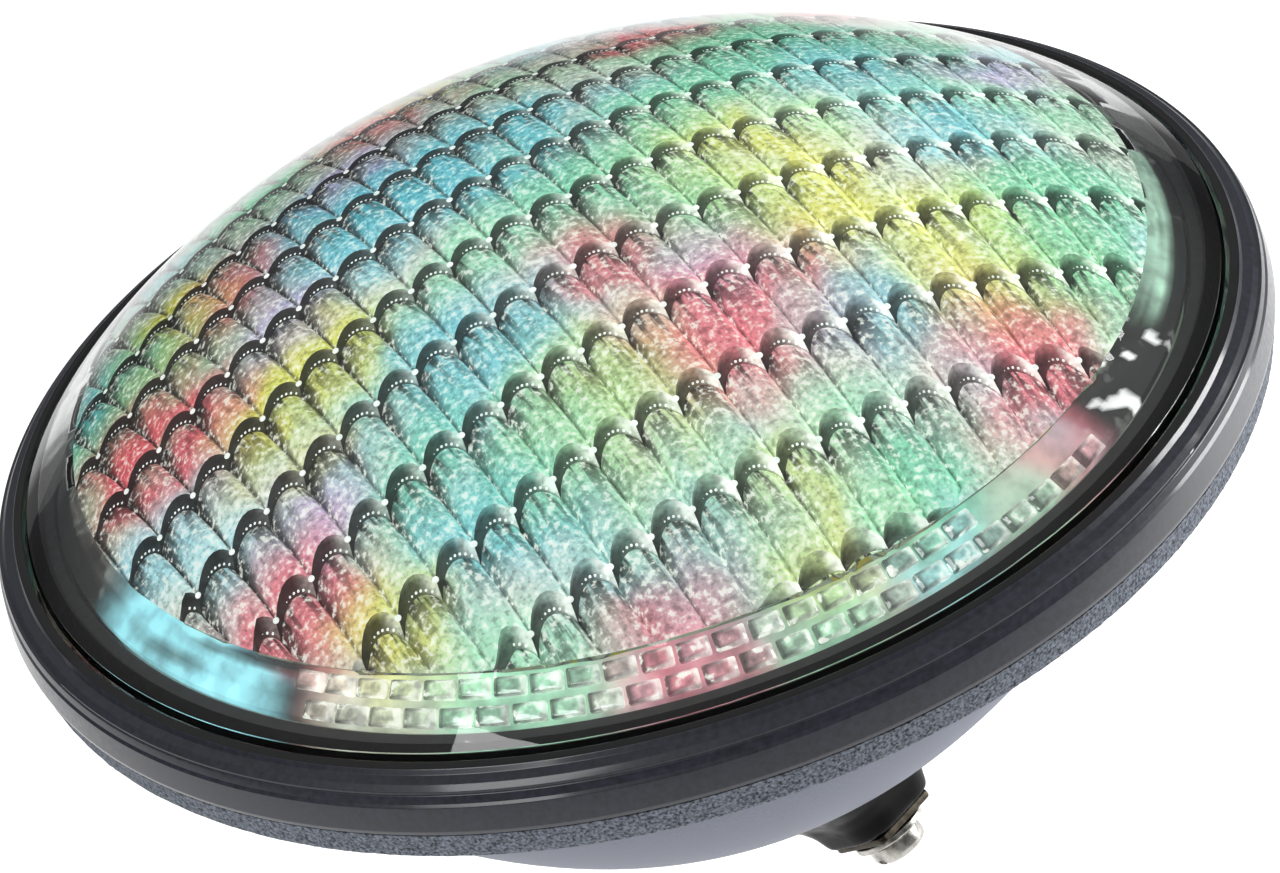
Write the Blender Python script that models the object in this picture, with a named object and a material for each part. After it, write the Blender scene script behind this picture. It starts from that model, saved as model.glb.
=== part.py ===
"""Sealed underwater pool light with a domed lens, a reflector bowl and two screw terminals.

Frame: metres, +Z along the optical axis, out through the lens. The origin is the centre of the flat rear face
of the rim, the face that rests in a pool niche. The lens flutes run along X and Y.
"""
import bmesh
import bpy
import math
from mathutils import Matrix, Vector

MM = 0.001
GAP = 0.3 * MM                     # clearance between pieces that touch

# Rim
SEGMENTS = 48                      # facets around every large turned piece
RIM_R = 89.0 * MM                  # the widest radius, at the foot of the bezel
RIDGE_R = 88.1 * MM
RIDGE_Z = 9.6 * MM
LENS_EDGE_R = 83.0 * MM            # where the dome meets the bezel lip
LENS_FLANGE_R = 86.0 * MM
LENS_BORE_R = 79.6 * MM            # inner wall of the lens under its dome
BEAD_TOP_Z = 4.4 * MM
FLANGE_T = 1.8 * MM                # thickness of the bowl's flange
FLANGE_R = 86.6 * MM

# Dome, a part of a sphere
DOME_TOP_Z = 43.1 * MM
DOME_EDGE_Z = 12.5 * MM
LENS_T = 3.6 * MM
FLUTE_ROOM = 3.3 * MM              # height left under the lens for its flutes
DIFFUSER_T = 1.0 * MM
DIFFUSER_R = 76.5 * MM

# Bowl: z = BOWL_MOUTH_Z - depth * (1 - (r / mouth radius) ** BOWL_POWER)
BOWL_MOUTH_Z = 0.7 * MM
BOWL_POWER = 2.15
BOWL_OUT_R, BOWL_OUT_DEPTH = 80.0 * MM, 61.0 * MM
BOWL_IN_R, BOWL_IN_DEPTH = 78.3 * MM, 59.4 * MM
NECK_R = 14.3 * MM                 # hole for the neck plug

# Light engine
SPREADER_R = 68.0 * MM
SPREADER_T = 2.0 * MM
SPREADER_TOP_Z = -6.7 * MM
SHELF_TOP_Z = SPREADER_TOP_Z - SPREADER_T - GAP
SCREW_CIRCLE_R = 65.2 * MM
SPREADER_SCREW_ANGLES = (35, 155, 275)
STRIP_COUNT = 9
STRIP_PITCH = 13.4 * MM
STRIP_W = 8.0 * MM
STRIP_T = 1.2 * MM
STRIP_FIELD_R = 61.0 * MM          # the strips end inside this circle
LED_PITCH = 10.0 * MM
LED_W = 5.0 * MM
LED_H = 1.6 * MM

# Driver
BOARD_R = 40.0 * MM
BOARD_T = 1.6 * MM
BOARD_TOP_Z = -30.0 * MM
PILLAR_CIRCLE_R = 33.0 * MM
PILLAR_R = 3.0 * MM
STUD_R = 1.2 * MM
LED_LEAD_X = 6.0 * MM
LED_LEAD_Y = STRIP_PITCH / 2

# Terminals
TERMINAL_AZIMUTH = math.radians(-65.5)
TERMINAL_TILT = math.radians(30.0)       # lean of each terminal away from the axis, outwards
TERMINAL_R = 25.6 * MM                   # centre of the slanted face
TERMINAL_Z = -65.5 * MM
PLATE_SIDE = 11.6 * MM
PLATE_T = 1.2 * MM
BUSH_R = 4.0 * MM
BUSH_L = 6.5 * MM
SCREW_R = 2.5 * MM
SCREW_HEAD_R = 4.25 * MM
SCREW_HEAD_H = 3.3 * MM
SCREW_L = 8.0 * MM
WASHER_T = 1.0 * MM
LEAD_CIRCLE_R = 7.0 * MM                 # supply leads in the neck plug
SUPPLY_LEAD_R = 0.9 * MM
LED_LEAD_R = 0.7 * MM


# ---------------------------------------------------------------- helpers

def material(name, colour, roughness, metallic=0.0):
    """A Principled material of one colour."""
    mat = bpy.data.materials.get(name) or bpy.data.materials.new(name)
    mat.use_nodes = True
    shader = mat.node_tree.nodes["Principled BSDF"]
    shader.inputs["Base Color"].default_value = (*colour, 1.0)
    shader.inputs["Roughness"].default_value = roughness
    shader.inputs["Metallic"].default_value = metallic
    return mat


def add_object(name, bm, mat):
    """Turn a bmesh into a named object with smooth round sides."""
    bmesh.ops.recalc_face_normals(bm, faces=bm.faces)
    mesh = bpy.data.meshes.new(name)
    bm.to_mesh(mesh)
    bm.free()
    mesh.shade_smooth()
    mesh.set_sharp_from_angle(angle=math.radians(35))
    if mat:
        mesh.materials.append(mat)
    obj = bpy.data.objects.new(name, mesh)
    bpy.context.scene.collection.objects.link(obj)
    return obj


def turned_bmesh(profile, segments=SEGMENTS):
    """Turn a closed outline of (r, z) points about Z. A point with r = 0 is a pole."""
    bm = bmesh.new()
    rings = []
    for r, z in profile:
        if r < 1e-9:
            rings.append([bm.verts.new((0, 0, z))] * segments)
            continue
        angles = [math.tau * k / segments for k in range(segments)]
        rings.append([bm.verts.new((r * math.cos(a), r * math.sin(a), z)) for a in angles])
    for low, high in zip(rings, rings[1:] + rings[:1]):
        for k in range(segments):
            corners = [low[k], low[(k + 1) % segments], high[(k + 1) % segments], high[k]]
            corners = list(dict.fromkeys(corners))
            if len(corners) > 2:
                bm.faces.new(corners)
    return bm


def turned(name, profile, mat, segments=SEGMENTS):
    return add_object(name, turned_bmesh(profile, segments), mat)


def cylinder_bmesh(radius, z_low, z_high, segments=24):
    """A closed cylinder along Z."""
    bm = bmesh.new()
    middle = Matrix.Translation((0, 0, (z_low + z_high) / 2))
    bmesh.ops.create_cone(bm, cap_ends=True, segments=segments, radius1=radius, radius2=radius,
                          depth=z_high - z_low, matrix=middle)
    return bm


def cutter(name, bm):
    """A hidden solid for a Boolean."""
    obj = add_object(name, bm, None)
    obj.hide_render = True
    obj.display_type = 'WIRE'
    return obj


def boolean(obj, other, operation='DIFFERENCE'):
    mod = obj.modifiers.new(operation.title(), 'BOOLEAN')
    mod.operation = operation
    mod.object = other


def drill(obj, points, radius, z_low, z_high, segments=8):
    """Cut a vertical hole through obj at each (x, y) point."""
    for k, (x, y) in enumerate(points):
        hole = cutter(f"{obj.name}_hole_{k + 1}", cylinder_bmesh(radius, z_low, z_high, segments))
        hole.location = (x, y, 0)
        boolean(obj, hole)


def on_circle(radius, degrees):
    return [(radius * math.cos(math.radians(a)), radius * math.sin(math.radians(a))) for a in degrees]


def sphere_z(radius, r):
    """Height of a dome of the given sphere radius at distance r from the axis."""
    return DOME_CENTRE_Z + math.sqrt(radius * radius - r * r)


def dome_arc(radius, r_end, steps):
    """Points of a dome from the pole out to r_end, evenly spaced in angle."""
    end = math.asin(r_end / radius)
    angles = [end * k / steps for k in range(steps + 1)]
    return [(radius * math.sin(a), DOME_CENTRE_Z + radius * math.cos(a)) for a in angles]


def bowl_z(r, mouth_r, depth):
    return BOWL_MOUTH_Z - depth * (1 - (r / mouth_r) ** BOWL_POWER)


def bowl_curve(mouth_r, depth, r_from, r_to, steps, grow=0.0):
    """Points down one face of the bowl, moved outwards by grow."""
    points = []
    for k in range(steps + 1):
        r = r_from + (r_to - r_from) * k / steps
        slope = depth * BOWL_POWER / mouth_r * (r / mouth_r) ** (BOWL_POWER - 1)
        length = math.hypot(1, slope)
        points.append((r + grow * slope / length, bowl_z(r, mouth_r, depth) - grow / length))
    return points


DOME_H = DOME_TOP_Z - DOME_EDGE_Z
DOME_R = (LENS_EDGE_R ** 2 + DOME_H ** 2) / (2 * DOME_H)
DOME_CENTRE_Z = DOME_TOP_Z - DOME_R


# ---------------------------------------------------------------- rim and shells

def make_lens():
    outer = dome_arc(DOME_R, LENS_EDGE_R, 9)
    flange = [(LENS_EDGE_R, 10.2 * MM), (LENS_FLANGE_R, 8.9 * MM), (LENS_FLANGE_R, BEAD_TOP_Z + GAP),
              (LENS_BORE_R, BEAD_TOP_Z + GAP)]
    inner = dome_arc(DOME_R - LENS_T, LENS_BORE_R, 7)[::-1]
    turned("lens", outer + flange + inner, material("lens_glass", (0.86, 0.93, 0.93), 0.03))


def make_bezel():
    section = [(83.4 * MM, 11.9 * MM), (84.2 * MM, 12.1 * MM), (87.6 * MM, 10.2 * MM), (RIDGE_R, RIDGE_Z),
               (RIM_R, BEAD_TOP_Z + GAP), (LENS_FLANGE_R + GAP, BEAD_TOP_Z + GAP),
               (LENS_FLANGE_R + GAP, 9.3 * MM), (83.4 * MM, 10.5 * MM)]
    turned("lens_bezel", section, material("bezel_black", (0.05, 0.055, 0.065), 0.25))


def make_seal_bead():
    section = [(88.9 * MM, BEAD_TOP_Z), (88.5 * MM, 2.2 * MM), (88.2 * MM, 0.2 * MM),
               (FLANGE_R + GAP, 0.2 * MM), (FLANGE_R + GAP, FLANGE_T + GAP),
               (80.4 * MM, FLANGE_T + GAP), (80.4 * MM, BEAD_TOP_Z)]
    turned("seal_bead", section, material("seal_grey", (0.22, 0.25, 0.28), 0.85))


def make_bowl():
    rim = [(FLANGE_R, FLANGE_T), (FLANGE_R, 0)]
    r_at_flange = BOWL_OUT_R * (1 - BOWL_MOUTH_Z / BOWL_OUT_DEPTH) ** (1 / BOWL_POWER)
    outer = bowl_curve(BOWL_OUT_R, BOWL_OUT_DEPTH, r_at_flange, NECK_R, 8)
    inner = bowl_curve(BOWL_IN_R, BOWL_IN_DEPTH, NECK_R, BOWL_IN_R, 7)
    turned("reflector_bowl", rim + outer + inner + [(BOWL_IN_R, FLANGE_T)],
           material("bowl_coat", (0.27, 0.31, 0.36), 0.45))


def make_diffuser():
    radius = DOME_R - LENS_T - FLUTE_ROOM
    outer = dome_arc(radius, DIFFUSER_R, 5)
    inner = dome_arc(radius - DIFFUSER_T, DIFFUSER_R, 5)[::-1]
    turned("colour_diffuser", outer + inner, material("diffuser", (0.75, 0.80, 0.78), 0.5), 36)


# ---------------------------------------------------------------- light engine

def make_carrier():
    section = [(76.8 * MM, 7.2 * MM), (76.8 * MM, -0.8 * MM), (70.2 * MM, -11.0 * MM), (62.0 * MM, -11.0 * MM),
               (62.0 * MM, SHELF_TOP_Z), (68.4 * MM, SHELF_TOP_Z), (74.0 * MM, -0.6 * MM), (74.0 * MM, 7.2 * MM)]
    carrier = turned("led_carrier", section, material("carrier_white", (0.78, 0.79, 0.78), 0.5), 36)
    holes = on_circle(SCREW_CIRCLE_R, SPREADER_SCREW_ANGLES)
    drill(carrier, holes, 1.6 * MM, -13 * MM, SHELF_TOP_Z + 1 * MM)


def make_heat_spreader():
    z_low = SPREADER_TOP_Z - SPREADER_T
    disc = add_object("heat_spreader", cylinder_bmesh(SPREADER_R, z_low, SPREADER_TOP_Z, 36),
                      material("spreader_aluminium", (0.70, 0.71, 0.72), 0.35, 1.0))
    holes = on_circle(SCREW_CIRCLE_R, SPREADER_SCREW_ANGLES)
    holes += on_circle(PILLAR_CIRCLE_R, PILLAR_ANGLES)
    holes += [(LED_LEAD_X, LED_LEAD_Y), (-LED_LEAD_X, LED_LEAD_Y)]
    drill(disc, holes, 1.6 * MM, z_low - 1 * MM, SPREADER_TOP_Z + 1 * MM)


def make_led_strip(number):
    """A strip with a row of square LED packages, raised from its top face."""
    y = STRIP_PITCH * (number - (STRIP_COUNT + 1) / 2)
    half = math.sqrt(STRIP_FIELD_R ** 2 - y * y)
    leds = 2 * int((half - LED_W) / LED_PITCH) + 1
    centres = [LED_PITCH * (k - (leds - 1) / 2) for k in range(leds)]
    xs = [-half] + [c + side * LED_W / 2 for c in centres for side in (-1, 1)] + [half]
    ys = [y - STRIP_W / 2, y - LED_W / 2, y + LED_W / 2, y + STRIP_W / 2]
    z_low = SPREADER_TOP_Z + GAP
    bm = bmesh.new()
    grid = [[bm.verts.new((x, yy, z_low)) for yy in ys] for x in xs]
    faces = {}
    for i in range(len(xs) - 1):
        for j in range(3):
            corners = [grid[i][j], grid[i + 1][j], grid[i + 1][j + 1], grid[i][j + 1]]
            faces[i, j] = bm.faces.new(corners)
    slab = bmesh.ops.extrude_face_region(bm, geom=list(bm.faces))
    top_faces = [g for g in slab["geom"] if isinstance(g, bmesh.types.BMFace)]
    top_verts = [g for g in slab["geom"] if isinstance(g, bmesh.types.BMVert)]
    bmesh.ops.translate(bm, verts=top_verts, vec=(0, 0, STRIP_T))
    for face in top_faces:
        centre = face.calc_center_median()
        if abs(centre.y - y) < 1e-4 and min(abs(centre.x - c) for c in centres) < 1e-4:
            led = bmesh.ops.extrude_discrete_faces(bm, faces=[face])["faces"][0]
            bmesh.ops.translate(bm, verts=led.verts, vec=(0, 0, LED_H))
    add_object(f"led_strip_{number}", bm, material("strip_white", (0.80, 0.80, 0.76), 0.45))


def make_spreader_screw(number, point):
    """Pan-head screw: the shank goes through the spreader and the carrier shelf."""
    head_low = SPREADER_TOP_Z + GAP
    profile = [(0, head_low + 2.0 * MM), (1.6 * MM, head_low + 1.9 * MM), (2.6 * MM, head_low + 1.0 * MM),
               (2.6 * MM, head_low), (1.25 * MM, head_low), (1.25 * MM, -10.8 * MM), (0, -10.8 * MM)]
    screw = turned(f"spreader_screw_{number}", profile, material("zinc_steel", (0.6, 0.6, 0.62), 0.3, 1.0), 10)
    screw.location = (*point, 0)


# ---------------------------------------------------------------- driver

PILLAR_ANGLES = (90, 210, 330)
BOARD_LOW_Z = BOARD_TOP_Z - BOARD_T


def make_driver_board():
    board = add_object("driver_board", cylinder_bmesh(BOARD_R, BOARD_LOW_Z, BOARD_TOP_Z, 32),
                       material("board_green", (0.03, 0.16, 0.08), 0.4))
    drill(board, on_circle(PILLAR_CIRCLE_R, PILLAR_ANGLES), 1.6 * MM, BOARD_LOW_Z - 1 * MM, BOARD_TOP_Z + 1 * MM)


def make_pillar(number, point):
    """Spacer with a stud at each end, through the spreader and through the board."""
    top = SPREADER_TOP_Z - SPREADER_T - GAP
    low = BOARD_TOP_Z + GAP
    profile = [(0, SPREADER_TOP_Z), (STUD_R, SPREADER_TOP_Z), (STUD_R, top), (PILLAR_R, top), (PILLAR_R, low),
               (STUD_R, low), (STUD_R, BOARD_LOW_Z - 3.5 * MM), (0, BOARD_LOW_Z - 3.5 * MM)]
    pillar = turned(f"pillar_{number}", profile, material("pillar_brass", (0.62, 0.48, 0.22), 0.3, 1.0), 10)
    pillar.location = (*point, 0)


def make_board_nut(number, point):
    top = BOARD_LOW_Z - GAP
    low = top - 2.4 * MM
    hexagon = [(3.2 * MM, top), (3.2 * MM, low), (STUD_R + GAP, low), (STUD_R + GAP, top)]
    bm = turned_bmesh(hexagon, 6)
    nut = add_object(f"board_nut_{number}", bm, material("zinc_steel", (0.6, 0.6, 0.62), 0.3, 1.0))
    nut.location = (*point, 0)


def make_box(name, size, centre, mat, bevel=0.4 * MM):
    bm = bmesh.new()
    bmesh.ops.create_cube(bm, size=1.0, matrix=Matrix.Diagonal((*size, 1.0)))
    bmesh.ops.bevel(bm, geom=list(bm.edges), offset=bevel, segments=1, affect='EDGES')
    box = add_object(name, bm, mat)
    box.location = centre
    return box


def make_components():
    """The main electronic pieces, on both faces of the driver board."""
    top = BOARD_TOP_Z + GAP
    low = BOARD_LOW_Z - GAP
    black = material("component_black", (0.03, 0.03, 0.03), 0.4)
    make_box("rectifier", (12 * MM, 8 * MM, 5 * MM), (-18 * MM, -8 * MM, top + 2.5 * MM), black)
    make_box("control_chip", (10 * MM, 6 * MM, 2 * MM), (16 * MM, -12 * MM, top + 1 * MM), black)
    can = [(0, low), (6.3 * MM, low), (6.3 * MM, low - 2 * MM), (5.9 * MM, low - 2.6 * MM),
           (6.3 * MM, low - 3.2 * MM), (6.3 * MM, low - 13.0 * MM), (5.6 * MM, low - 13.6 * MM),
           (0, low - 13.6 * MM)]
    capacitor = turned("capacitor", can, material("capacitor_sleeve", (0.05, 0.08, 0.16), 0.3), 14)
    capacitor.location = (0, 21 * MM, 0)
    spool = [(3.0 * MM, low), (8.0 * MM, low), (8.0 * MM, low - 1.2 * MM), (6.8 * MM, low - 1.8 * MM),
             (6.8 * MM, low - 7.2 * MM), (8.0 * MM, low - 7.8 * MM), (8.0 * MM, low - 9.0 * MM),
             (3.0 * MM, low - 9.0 * MM)]
    coil = turned("coil", spool, material("coil_copper", (0.55, 0.25, 0.10), 0.35, 1.0), 14)
    coil.location = (-20 * MM, 0, 0)


# ---------------------------------------------------------------- neck and terminals

def make_neck_plug():
    """Insulating plug through the bowl's hole, with a flange inside the bowl."""
    section = [(0, -52.0 * MM), (18.0 * MM, -52.0 * MM), (18.0 * MM, -55.0 * MM), (13.9 * MM, -55.4 * MM),
               (13.9 * MM, -60.0 * MM), (0, -60.0 * MM)]
    plug = turned("neck_plug", section, material("plug_cement", (0.62, 0.58, 0.50), 0.8), 24)
    angle = math.degrees(TERMINAL_AZIMUTH)
    drill(plug, on_circle(LEAD_CIRCLE_R, (angle, angle + 180)), SUPPLY_LEAD_R + GAP, -62 * MM, -50 * MM)


def terminal_frame(side):
    """World matrix of one terminal: origin on the slanted face, +Z out along the screw, +X across it."""
    azimuth = TERMINAL_AZIMUTH + (math.pi if side == "b" else 0)
    outward = Vector((math.cos(azimuth), math.sin(azimuth), 0))
    across = Vector((-math.sin(azimuth), math.cos(azimuth), 0))
    axis = outward * math.sin(TERMINAL_TILT) - Vector((0, 0, 1)) * math.cos(TERMINAL_TILT)
    origin = outward * TERMINAL_R + Vector((0, 0, TERMINAL_Z))
    frame = Matrix((across, axis.cross(across), axis)).transposed().to_4x4()
    return Matrix.Translation(origin) @ frame


def rounded_rectangle(half_x, half_y, corner, steps=2):
    """Points around a rounded rectangle, anticlockwise."""
    points = []
    for quadrant in range(4):
        sx = (1, -1, -1, 1)[quadrant]
        sy = (1, 1, -1, -1)[quadrant]
        for k in range(steps + 1):
            a = math.pi / 2 * (quadrant + k / steps)
            x = sx * (half_x - corner) + corner * math.cos(a)
            y = sy * (half_y - corner) + corner * math.sin(a)
            points.append((x, y))
    return points


def lofted_bmesh(sections):
    """A closed solid through rounded rectangles. Each section is (z, half_x, half_y, corner, shift_y)."""
    bm = bmesh.new()
    rings = []
    for z, half_x, half_y, corner, shift_y in sections:
        outline = rounded_rectangle(half_x, half_y, corner)
        rings.append([bm.verts.new((x, y + shift_y, z)) for x, y in outline])
    count = len(rings[0])
    for low, high in zip(rings, rings[1:]):
        for k in range(count):
            bm.faces.new((low[k], low[(k + 1) % count], high[(k + 1) % count], high[k]))
    bm.faces.new(rings[0][::-1])
    bm.faces.new(rings[-1])
    return bm


def make_terminal_bridge():
    """Black moulding on the back of the bowl: a hub and two flared bosses with slanted faces."""
    black = material("bridge_phenolic", (0.02, 0.02, 0.022), 0.4)
    hub = turned_bmesh([(0, -45 * MM), (25 * MM, -45 * MM), (23 * MM, -58 * MM), (15.5 * MM, -66.5 * MM),
                        (13.5 * MM, -67.3 * MM), (0, -67.3 * MM)], 28)
    bridge = add_object("terminal_bridge", hub, black)
    for side in "ab":
        boss_shape = lofted_bmesh([(-20 * MM, 20 * MM, 14 * MM, 6 * MM, 0), (-9.5 * MM, 16 * MM, 11.5 * MM, 6 * MM, 0),
                                   (-5 * MM, 9.6 * MM, 8.8 * MM, 5.5 * MM, 0), (-0.8 * MM, 7.8 * MM, 7.6 * MM, 5 * MM, 0),
                                   (0, 7.2 * MM, 7 * MM, 4.5 * MM, 0)])
        boss = cutter(f"boss_{side}", boss_shape)
        boss.matrix_world = terminal_frame(side)
        boolean(bridge, boss, 'UNION')
    envelope = bowl_curve(BOWL_OUT_R, BOWL_OUT_DEPTH, 60 * MM, 3 * MM, 10, grow=0.5 * MM)
    bowl_space = cutter("bowl_space", turned_bmesh([(0, 10 * MM), (75 * MM, 10 * MM)] + envelope
                                                   + [(0, envelope[-1][1])], SEGMENTS))
    boolean(bridge, bowl_space)
    plug_space = cutter("plug_space", cylinder_bmesh(14.6 * MM, -60.6 * MM, -40 * MM, 24))
    boolean(bridge, plug_space)
    channel_bm = bmesh.new()
    bmesh.ops.create_cube(channel_bm, size=1.0, matrix=Matrix.Diagonal((47 * MM, 7 * MM, 10 * MM, 1.0)))
    channel = cutter("channel", channel_bm)
    channel.rotation_euler = (0, 0, TERMINAL_AZIMUTH)
    channel.location = (0, 0, -59.2 * MM)
    boolean(bridge, channel)
    for side in "ab":
        bush_space = cutter(f"bush_space_{side}", cylinder_bmesh(BUSH_R + GAP, -7.5 * MM, 2 * MM, 16))
        bush_space.matrix_world = terminal_frame(side)
        boolean(bridge, bush_space)


def make_contact_plate(side):
    """Nickel-plated plate on the slanted face, with a threaded bush behind it."""
    frame = terminal_frame(side)
    bm = bmesh.new()
    size = Matrix.Diagonal((PLATE_SIDE, PLATE_SIDE, PLATE_T, 1.0))
    bmesh.ops.create_cube(bm, size=1.0, matrix=Matrix.Translation((0, 0, GAP + PLATE_T / 2)) @ size)
    plate = add_object(f"contact_plate_{side}", bm, material("nickel_brass", (0.66, 0.62, 0.52), 0.3, 1.0))
    plate.matrix_world = frame
    bush = cutter(f"bush_{side}", cylinder_bmesh(BUSH_R, -BUSH_L, GAP + PLATE_T / 2, 16))
    bush.matrix_world = frame
    boolean(plate, bush, 'UNION')
    thread = cutter(f"thread_{side}", cylinder_bmesh(SCREW_R + GAP, -BUSH_L - 1 * MM, 4 * MM, 16))
    thread.matrix_world = frame
    boolean(plate, thread)


def make_washer(side):
    low = GAP + PLATE_T + GAP
    section = [(5.6 * MM, low + WASHER_T), (5.6 * MM, low), (SCREW_R + GAP, low), (SCREW_R + GAP, low + WASHER_T)]
    washer = turned(f"clamp_washer_{side}", section, material("nickel_steel", (0.72, 0.70, 0.66), 0.25, 1.0), 16)
    washer.matrix_world = terminal_frame(side)


def make_terminal_screw(side):
    """Slotted cheese-head screw; its origin is on its own axis, on the slanted face."""
    head_low = GAP + PLATE_T + GAP + WASHER_T + GAP
    head_top = head_low + SCREW_HEAD_H
    profile = [(0, head_top), (SCREW_HEAD_R - 0.5 * MM, head_top), (SCREW_HEAD_R, head_top - 0.5 * MM),
               (SCREW_HEAD_R, head_low), (SCREW_R, head_low), (SCREW_R, head_low - SCREW_L + 0.5 * MM),
               (SCREW_R - 0.5 * MM, head_low - SCREW_L), (0, head_low - SCREW_L)]
    screw = turned(f"terminal_screw_{side}", profile, material("nickel_steel", (0.72, 0.70, 0.66), 0.25, 1.0), 16)
    screw.matrix_world = terminal_frame(side)
    slot_bm = bmesh.new()
    bmesh.ops.create_cube(slot_bm, size=1.0, matrix=Matrix.Diagonal((12 * MM, 1.3 * MM, 3.2 * MM, 1.0)))
    slot = cutter(f"slot_{side}", slot_bm)
    slot.matrix_world = terminal_frame(side) @ Matrix.Translation((0, 0, head_top))
    boolean(screw, slot)


# ---------------------------------------------------------------- leads

def smooth_path(points, spacing):
    """Points of a Catmull-Rom curve through the route, about one per spacing."""
    ends = [2 * points[0] - points[1]] + points + [2 * points[-1] - points[-2]]
    path = []
    for a, b, c, d in zip(ends, ends[1:], ends[2:], ends[3:]):
        steps = max(1, round((c - b).length / spacing))
        for k in range(steps):
            t = k / steps
            path.append(0.5 * (2 * b + (c - a) * t + (2 * a - 5 * b + 4 * c - d) * t * t
                               + (3 * b - a - 3 * c + d) * t ** 3))
    return path + [points[-1]]


def make_lead(name, route, radius, colour):
    """A round lead along a smooth route, with closed ends."""
    points = smooth_path(route, radius * 5)
    curve = bpy.data.curves.new(name, 'CURVE')
    curve.dimensions = '3D'
    curve.bevel_depth = radius
    curve.bevel_resolution = 2
    curve.use_fill_caps = True
    spline = curve.splines.new('POLY')
    spline.points.add(len(points) - 1)
    for spline_point, point in zip(spline.points, points):
        spline_point.co = (*point, 1.0)
    curve.materials.append(material(f"{name}_insulation", colour, 0.4))
    bpy.context.scene.collection.objects.link(bpy.data.objects.new(name, curve))


def make_supply_lead(side, colour):
    """From the bush, through the neck plug, up to the underside of the driver board."""
    azimuth = TERMINAL_AZIMUTH + (math.pi if side == "b" else 0)
    outward = Vector((math.cos(azimuth), math.sin(azimuth), 0))
    stations = [(22.4, -60.5), (20.0, -59.9), (16.5, -60.9), (12.0, -62.2), (8.6, -62.0), (7.0, -60.2), (7.0, -54.0),
                (7.6, -47.0), (10.0, -39.0), (11.0, -34.0), (11.0, -32.4)]
    route = [outward * r * MM + Vector((0, 0, z * MM)) for r, z in stations]
    make_lead(f"supply_lead_{side}", route, SUPPLY_LEAD_R, colour)


def make_led_lead(side, sign, colour):
    """From the driver board up through the spreader, to the middle strip."""
    x = sign * LED_LEAD_X
    strip_top = SPREADER_TOP_Z + GAP + STRIP_T
    route = [Vector((x, LED_LEAD_Y, BOARD_TOP_Z + GAP)), Vector((x, LED_LEAD_Y, -20 * MM)),
             Vector((x, LED_LEAD_Y, SPREADER_TOP_Z - 1 * MM)), Vector((x, LED_LEAD_Y - 0.7 * MM, strip_top + 0.9 * MM)),
             Vector((x * 0.95, LED_LEAD_Y - 2.2 * MM, strip_top + 1.3 * MM)),
             Vector((x * 0.9, 3.2 * MM, strip_top + LED_LEAD_R + GAP))]
    make_lead(f"led_lead_{side}", route, LED_LEAD_R, colour)


def main():
    for obj in list(bpy.data.objects):
        bpy.data.objects.remove(obj, do_unlink=True)
    make_lens()
    make_bezel()
    make_seal_bead()
    make_bowl()
    make_diffuser()
    make_carrier()
    make_heat_spreader()
    for number in range(1, STRIP_COUNT + 1):
        make_led_strip(number)
    for number, point in enumerate(on_circle(SCREW_CIRCLE_R, SPREADER_SCREW_ANGLES), 1):
        make_spreader_screw(number, point)
    make_driver_board()
    for number, point in enumerate(on_circle(PILLAR_CIRCLE_R, PILLAR_ANGLES), 1):
        make_pillar(number, point)
        make_board_nut(number, point)
    make_components()
    make_neck_plug()
    make_terminal_bridge()
    for side in "ab":
        make_contact_plate(side)
        make_washer(side)
        make_terminal_screw(side)
    make_supply_lead("a", (0.35, 0.03, 0.03))
    make_supply_lead("b", (0.02, 0.02, 0.02))
    make_led_lead("a", 1, (0.35, 0.03, 0.03))
    make_led_lead("b", -1, (0.02, 0.02, 0.02))


main()
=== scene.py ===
import math

import bmesh
import bpy
from mathutils import Matrix, Vector, noise


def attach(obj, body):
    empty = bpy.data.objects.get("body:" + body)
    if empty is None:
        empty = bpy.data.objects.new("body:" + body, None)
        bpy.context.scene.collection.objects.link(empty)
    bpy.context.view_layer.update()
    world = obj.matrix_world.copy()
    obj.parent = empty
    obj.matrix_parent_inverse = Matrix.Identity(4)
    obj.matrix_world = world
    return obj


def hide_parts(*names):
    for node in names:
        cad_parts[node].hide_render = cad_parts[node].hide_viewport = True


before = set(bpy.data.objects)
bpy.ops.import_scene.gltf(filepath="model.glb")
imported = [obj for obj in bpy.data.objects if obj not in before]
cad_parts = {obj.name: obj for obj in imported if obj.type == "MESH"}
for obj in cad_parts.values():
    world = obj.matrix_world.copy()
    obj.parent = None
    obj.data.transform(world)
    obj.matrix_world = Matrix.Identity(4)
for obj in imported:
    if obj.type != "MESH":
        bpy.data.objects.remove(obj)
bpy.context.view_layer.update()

# Underwater pool light: a sealed lamp with a fluted glass lens over a patchwork of coloured light.
# Metres, +Z along the optical axis, out through the lens. Rows of flutes lie along X, each flute along Y.

MM = 0.001
LAMP = "lamp_body"

# Camera and floor
CAMERA_AIM = (-1.6, -5.9, 0.5)     # millimetres
CAMERA_DISTANCE = 0.4901
CAMERA_AZIMUTH, CAMERA_ELEVATION, CAMERA_ROLL = 16.36, 33.73, 17.19      # degrees
CAMERA_LENS, CAMERA_SENSOR = 101.05, 36.0                                # millimetres
FLOOR_R = 7.0
FLOOR_Z = -0.30
PALE_CENTRE = (0.12, 0.42, 0.0)    # middle of the floor's painted pool of light
PALE_R, GREY_R = 0.85, 2.2         # the painted pool of light starts to fade to grey, and is at its greyest
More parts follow.
